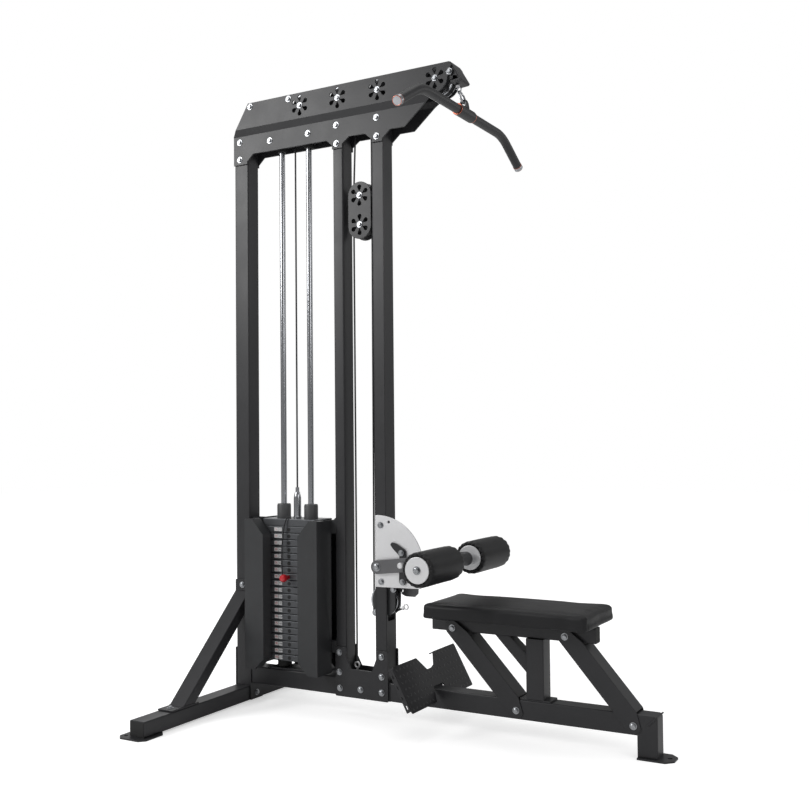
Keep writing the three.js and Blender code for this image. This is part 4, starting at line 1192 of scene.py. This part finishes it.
class PULLDOWN_OT_thigh(PieceOperator, bpy.types.Operator):
    """Make the thigh holder, its quadrants and its rollers"""
    bl_idname = "pulldown.thigh"
    bl_label = "Thigh holder"

    def build(self, context):
        px, pz = PIVOT
        across = (ROLLER[0], 0, ROLLER[1])

        def spot(r, turn):
            return px + r * math.cos(turn), pz + r * math.sin(turn)

        def hole(r, deg, size):
            return circle(*spot(r, math.radians(deg)), size, 24)

        near = [(580, 434), (748, 437)] + arc(px, pz, 168, -21.5, 94, 40)
        holes = [hole(152, 75, 5), hole(96.5, 6.5, 6)]
        piece("Quadrant near", [side_plate([rounded(near, 3), *holes])], "frame", zinc(),
              ["quadrant_near"])
        # the far quadrant is zinc like the near one, but it takes the darker arm paint: that darkness
        # is painted shade
        far = [(580, 434), (640, 434), (640, 406), (655, 399), (690, 399), (702, 410),
               (704, 436)] + arc(px, pz, 130, -28.5, 94, 40)
        holes = [hole(96.5, deg, 6) for deg in (20, 33, 46, 59)] + [hole(97, -59, 5)]
        piece("Quadrant far", [slab([rounded(far, 3), *holes], FACE, FACE + PLATE)], "frame",
              arm_paint(), ["quadrant_far"])
        lock = spot(96.5, 0.1135)
        arm = slab([stadium(PIVOT, ROLLER, 22.5), circle(*lock, 6.6)], -47, -42)
        hub = turned([(12.9, -42), (20, -42), (20, 42), (12.9, 42)], across, open_ends=True)
        piece("Thigh arm", [arm, flipped(arm)], "thigh_holder", arm_paint(), ["thigh_arm"])
        piece("Arm hub", [hub], "thigh_holder", powder_coat())
        lever = rounded([(646, 583), (640, 574), (650, 562), (674, 540), (672, 455), (679, 446),
                         (690, 446), (697, 455), (697, 556), (690, 563), (662, 579)], 5)
        piece("Latch lever", [slab([lever, circle(*lock, 7)], -41.7, -37.7)], "thigh_holder",
              powder_coat(), ["latch_handle"])
        pin = [(0, -66), (7, -65.6), (9.4, -64), (10, -61), (10, -56), (8.5, -54), (8.5, -47.4),
               (5.5, -47.2), (5.5, -36.4), (4.6, -35.7), (0, -35.7)]
        piece("Pop pin", [turned(pin, (lock[0], 0, lock[1]))], "pop_pin", zinc(), ["pop_pin"])
        # the rollers' foam runs between discs at these distances from the machine's middle
        a, b, disc = 72, 279, 39.5
        shaft = [(0, -b - 2), (12.5, -b - 2), (12.5, b + 2), (0, b + 2)]
        discs = [slab([circle(*ROLLER, disc, 64)], y0, y1, edge=1) for y0, y1 in (
            (-b - 6, -b - 1), (-a + 1, -a + 5), (a - 5, a - 1), (b + 1, b + 6))]
        piece("Roller shaft", [turned(shaft, across)], "thigh_holder", chrome(), ["roller_shaft"])
        piece("Roller discs", discs, "thigh_holder", zinc())
        bolts("Roller bolts", "thigh_holder", [(ROLLER[0], s * (b + 6.4), ROLLER[1], aim)
                                               for s, aim in SIDES], 1.2)
        for name, side in (("near", -1), ("far", 1)):
            self.roller(name, side, a, b)

    def roller(self, name, side, a, b):
        """Foam in a vinyl cover that is gathered in folds round the disc at each end."""
        rings, sides, full = [], 144, 53
        profile = [(14, 1.5), (30, 1.5), (39.4, 1.2), (40.6, -1.5), (42.4, -3.4), (45, -4),
                   (47.6, -3.2), (49.8, -1), (51.4, 2.4), (52.3, 7), (52.8, 14), (full, 26),
                   (full, 60)]
        line = [(r, a + y, y) for r, y in profile] + [(full, (a + b) / 2, 99)]
        line += [(r, b - y, y) for r, y in reversed(profile)]
        bm = bmesh.new()
        for r, y, depth in line:
            gather = math.exp(-max(0, depth + 1) / 7) * max(0, min(1, (r - 40) / 3))
            ring = []
            for i in range(sides):
                t = 2 * math.pi * i / sides
                fold = math.sin(18 * t + 0.8 * math.sin(3 * t) + 0.5 * math.sin(5 * t + y))
                crease = abs(fold) ** 0.6 * math.copysign(1, fold)
                sag = 0.3 * math.sin(3 * t + y * 0.05) + 0.2 * math.sin(7 * t - y * 0.08)
                rr = r + 2.1 * gather * crease + (sag if depth > 14 else 0)
                yy = y - 2.3 * gather * crease * (-1 if y < (a + b) / 2 else 1)
                yy = min(max(yy, a - 5.4), b + 5.4)
                ring.append(bm.verts.new(place(ROLLER[0] + rr * math.cos(t), side * yy,
                                               ROLLER[1] + rr * math.sin(t))))
            rings.append(ring)
        for p, q in zip(rings, rings[1:] + rings[:1]):
            for i in range(sides):
                bm.faces.new((p[i], p[(i + 1) % sides], q[(i + 1) % sides], q[i]))
        bmesh.ops.recalc_face_normals(bm, faces=bm.faces)
        obj = piece("Roller " + name, [bm], "roller_" + name, seat_vinyl(), ["roller_" + name],
                    80)
        pad(obj)


class PULLDOWN_OT_seat(PieceOperator, bpy.types.Operator):
    """Make the bench's frame, its braces and its cushion"""
    bl_idname = "pulldown.seat"
    bl_label = "Bench"

    def build(self, context):
        parts = [square_tube((781, 1322), (-20, 20), (311, 357), "X", 4),
                 square_tube((1104, 1161), (-29, 29), (128, 311), "Z", 4),
                 block((1082, 1183), (-29, 29), (125.3, 130.3), 0.6, 4)]
        parts += [block((x, x + 50), (-95, 95), (356, 360.4), 0.6, 3) for x in (830, 1240)]
        cheek = [(1000, 312), (1046, 312), (1105, 258), (1105, 204)]
        parts += [slab([cheek], y, y + 3) for y in (-20, 17)]
        parts.append(slab([[(1042, 313), (1048, 312), (1105, 261), (1105, 255)]], -20, 20))
        coated("Seat frame", parts, "seat_frame")
        piece("Seat tube caps", [slab([rect(-18.5, 18.5, 312.5, 355.5, 3)], x, x + 1.6, "YZ", 0.5)
                                 for x in (780.4, 1321)], "frame", rubber())
        for name, (a, b) in SEAT_BRACES.items():
            self.brace(name, a, b)
        board = slab([rect(814, 1316, -108, 108, 14)], 360.7, 372, "XY", 1)
        piece("Seat board", [board], "frame", board_black(), ["seat_board"])
        self.cushion(context)

    def brace(self, name, a, b):
        """Two cheeks round the bolts at a and b, joined by a web along their upper edge."""
        length = math.dist(a, b)
        c, s = (b[0] - a[0]) / length, (b[1] - a[1]) / length

        def at(u, n):
            return a[0] + u * c - n * s, a[1] + u * s + n * c

        turn = math.degrees(math.atan2(s, c))
        cheek = arc(*a, 23, turn + 100, turn + 270) + arc(*b, 23, turn - 90, turn + 30)
        cheek += [at(length - 24, 33), at(42, 33)]
        near = slab([cheek], -33.3, -30.3, "XZ", 0.6)
        web = slab([[at(56, 30), at(length - 24, 30), at(length - 24, 33), at(56, 33)]],
                   -32.8, 32.8, "XZ", 0.4)
        coated("Seat brace " + name, [near, flipped(near), web], "seat_brace_" + name)

    def cushion(self, context):
        """Foam blown up inside its cover, flat on the board, with a seam below its top edge."""
        s = context.scene.pulldown_padding
        under, top = 362, 407
        blank = slab([rect(796.6, 1333.4, -125.4, 125.4, 15)], under, top, "XY", 6)
        obj = bpy.data.objects.new("cushion", mesh_from(blank, "cushion"))
        context.scene.collection.objects.link(obj)
        remesh = obj.modifiers.new("Cells", "REMESH")
        remesh.mode, remesh.voxel_size = "VOXEL", s.voxel
        blank = bpy.data.meshes.new_from_object(
            obj.evaluated_get(context.evaluated_depsgraph_get()))
        obj.modifiers.clear()
        obj.data = blank
        floor, seam_z = place(0, 0, under).z, place(0, 0, top - 4).z
        rest = [v.co.copy() for v in blank.vertices]
        held = obj.vertex_groups.new(name="held")
        held.add([i for i, co in enumerate(rest) if co.z < floor + 0.004], 1.0, "REPLACE")
        cloth = obj.modifiers.new("Cover", "CLOTH")
        cloth.settings.quality = 5
        cloth.settings.vertex_group_mass = "held"
        cloth.settings.use_pressure = True
        cloth.settings.uniform_pressure_force = s.pressure
        cloth.settings.effector_weights.gravity = 0
        for number in range(1, 21):
            context.scene.frame_set(number)
        moved = obj.evaluated_get(context.evaluated_depsgraph_get()).data
        for i, vert in enumerate(moved.vertices):
            shift = vert.co - rest[i]
            if shift.length > s.swell:
                shift *= s.swell / shift.length
            rest[i] = rest[i] + shift
        obj.modifiers.clear()
        context.scene.frame_set(1)
        low, high = place(795.4, -126.6, 361.6), place(1334.6, 126.6, 413)
        centre = (low + high) / 2
        for vert, co in zip(blank.vertices, rest):
            u = (co.x - centre.x) / (high.x - centre.x)
            v = (co.y - centre.y) / (high.y - centre.y)
            if co.z > floor + 0.02:
                co.z += 0.003 * max(0, 1 - u * u) * max(0, 1 - v * v)
            seam = math.exp(-((co.z - seam_z) / 0.0022) ** 2)
            if max(abs(u), abs(v)) > 0.93:
                pucker = 0.0009 * math.sin(co.x * 61 + 2 * math.sin(co.x * 23)) * math.sin(
                    co.y * 47 + 1.3) * (1 - seam)
                co.x += (pucker - 0.0014 * seam) * u
                co.y += (pucker - 0.0014 * seam) * v
            vert.co = [min(h, max(l, c)) for l, c, h in zip(low, co, high)]
        bpy.data.objects.remove(obj)
        pad(finished("Seat cushion", blank, "frame", seat_vinyl(), ["seat_pad"], 80))


class PULLDOWN_OT_foot_plate(PieceOperator, bpy.types.Operator):
    """Make the tread plate for the feet"""
    bl_idname = "pulldown.foot_plate"
    bl_label = "Foot plate"

    def build(self, context):
        lean = math.radians(28.1)
        down = Vector((math.sin(lean), 0, -math.cos(lean)))
        out = Vector((math.cos(lean), 0, math.sin(lean)))
        start = Vector((741.5, 0, 223))

        def spot(y, v, n=0.0):
            return start + Vector((0, y, 0)) + down * v + out * n

        half, long = 207, 150
        sheet = rounded([(-half, 0), (-58, 0), (-23, 45), (23, 45), (58, 0), (half, 0),
                         (half, long), (50, long), (32, 102), (-32, 102), (-50, long),
                         (-half, long)], 7)
        slots = [rounded(rect(v - 6, v + 6, -14.5, -9.5), 2.4) for v in (28, 62, 96, 126)]
        shapes = [slab([sheet], -4, 0, "XY", 0.6)]
        shapes += [slab([rect(lo + 1, hi - 1, 0.4, 3.6)], -20, -3, "XY", 0.6)
                   for lo, hi in ((-half, -58), (58, half))]
        shapes += [slab([rect(4, long - 8, -20, -1), *slots], y, y + 4, "YZ", 0.6)
                   for y in (-half, half - 4)]
        for shape in shapes:
            for vert in shape.verts:
                vert.co = place(*spot(*((vert.co - place(0, 0, 0)) * 1000)))
            bmesh.ops.recalc_face_normals(shape, faces=shape.faces)
        rib = [(757, 189), (786, 135), (792, 110), (792, 82), (786, 76), (706, 76), (700, 84),
               (700, 116)]
        near = slab([rounded(rib, 3)], -FACE - 4, -FACE)
        coated("Foot plate", shapes + [near, flipped(near)], "foot_plate")
        self.tread(spot, down, out, half, long)

    def tread(self, spot, down, out, half, long):
        """Raised ovals in rows, left out near the sheet's edges and its two cut-outs."""
        points, aims, runs = [], [], []
        for row in range(7):
            for column in range(-9, 10):
                y, v = column * 21.5 + (row % 2) * 5, 13 + row * 21
                upper_cut = v < 50 and abs(y) < 64 - v * 0.75
                lower_cut = v > 92 and abs(y) < 42 + (v - 102) * 0.4
                if abs(y) > half - 8 or v > long - 8 or upper_cut or lower_cut:
                    continue
                points.append(tuple(spot(y, v, 0.1)))
                aims.append(tuple(out))
                tilt = math.radians(45 if (row + column) % 2 else -45)
                runs.append(tuple(Vector((0, math.cos(tilt), 0)) + down * math.sin(tilt)))
        grown("Tread", points_mesh("Tread", points, aim=aims, run=runs), tread_tree(),
              {"Length": 0.0062, "Width": 0.0024, "Rise": 0.001}, "frame", worn_coat(),
              smooth=60)


class PULLDOWN_OT_bolts(PieceOperator, bpy.types.Operator):
    """Make the bolts of the frame"""
    bl_idname = "pulldown.bolts"
    bl_label = "Bolts"

    def build(self, context):
        plate, bent, brace = FACE + PLATE + 0.4, FACE + PLATE + 8.4, 33.7
        rows = [
            (plate, ((27, 1982), (27, 1920), (160, 1970), (322, 1971), (438.5, 1981),
                     (438.5, 1918.5), (597, 1982), (597, 1919.5))),
            (bent, ((80, 2101), (247, 2101), (874, 2083))),
            (plate, ((437, 208), (437, 143), (438.6, 90), (519, 93), (600, 208), (600, 143),
                     (600, 92), (601, 636), (602, 452))),
            (brace, [end for ends in SEAT_BRACES.values() for end in ends])]
        spots = [(x, s * y, z, aim) for y, row in rows for x, z in row for s, aim in SIDES]
        for z in (27, 160):
            spots += [(65.7, 0, z, "+X"), (-5.7, 0, z, "-X")]
        for s, aim in SIDES:
            spots += [(30, s * 406, 60.7, "+Z"), (30, s * plate, 407, aim),
                      (740, s * 34.7, 92, aim), (638, s * 20.4, 428, aim),
                      (569, s * 20.4, 347, aim)]
        bolts("Frame bolts", "frame", spots)
        bolts("Axle bolts", "frame", [(x, s * bent, TOP_Z, aim) for x in TOP_PULLEYS
                                      for s, aim in SIDES], 0.95)
        bolts("Pivot bolts", "thigh_holder", [(PIVOT[0], s * 47.4, PIVOT[1], aim)
                                              for s, aim in SIDES], 1.3)
        bolts("Lever bolts", "thigh_holder", [(684, -47.4, 550, "-Y"), (684, -42.1, 456, "-Y"),
                                              (790, -47.4, 522, "-Y")], 0.9)


OPERATORS = [PULLDOWN_OT_stage, PULLDOWN_OT_uprights, PULLDOWN_OT_base, PULLDOWN_OT_braces,
             PULLDOWN_OT_head, PULLDOWN_OT_covers, PULLDOWN_OT_stack, PULLDOWN_OT_pulleys,
             PULLDOWN_OT_cables, PULLDOWN_OT_bar, PULLDOWN_OT_thigh, PULLDOWN_OT_seat,
             PULLDOWN_OT_foot_plate, PULLDOWN_OT_bolts]
SETTINGS = {"pulldown_finish": PULLDOWN_PG_finish, "pulldown_stack": PULLDOWN_PG_stack,
            "pulldown_fasteners": PULLDOWN_PG_fasteners, "pulldown_padding": PULLDOWN_PG_padding}


class PULLDOWN_PT_panel(bpy.types.Panel):
    """Settings and pieces of the machine"""
    bl_idname = "PULLDOWN_PT_panel"
    bl_label = "Lat Pulldown Machine"
    bl_space_type = "VIEW_3D"
    bl_region_type = "UI"
    bl_category = "Pulldown"

    def draw(self, context):
        for key, group in SETTINGS.items():
            box = self.layout.box()
            for name in group.__annotations__:
                box.prop(getattr(context.scene, key), name)
        for operator in OPERATORS:
            self.layout.operator(operator.bl_idname)


CLASSES = [*SETTINGS.values(), *OPERATORS, PULLDOWN_PT_panel]


def register():
    for cls in CLASSES:
        bpy.utils.register_class(cls)
    for key, group in SETTINGS.items():
        setattr(bpy.types.Scene, key, bpy.props.PointerProperty(type=group))


def unregister():
    for key in SETTINGS:
        delattr(bpy.types.Scene, key)
    for cls in reversed(CLASSES):
        bpy.utils.unregister_class(cls)


def main():
    register()
    for operator in OPERATORS:
        group, name = operator.bl_idname.split(".")
        getattr(getattr(bpy.ops, group), name)()


if __name__ == "__main__":
    main()
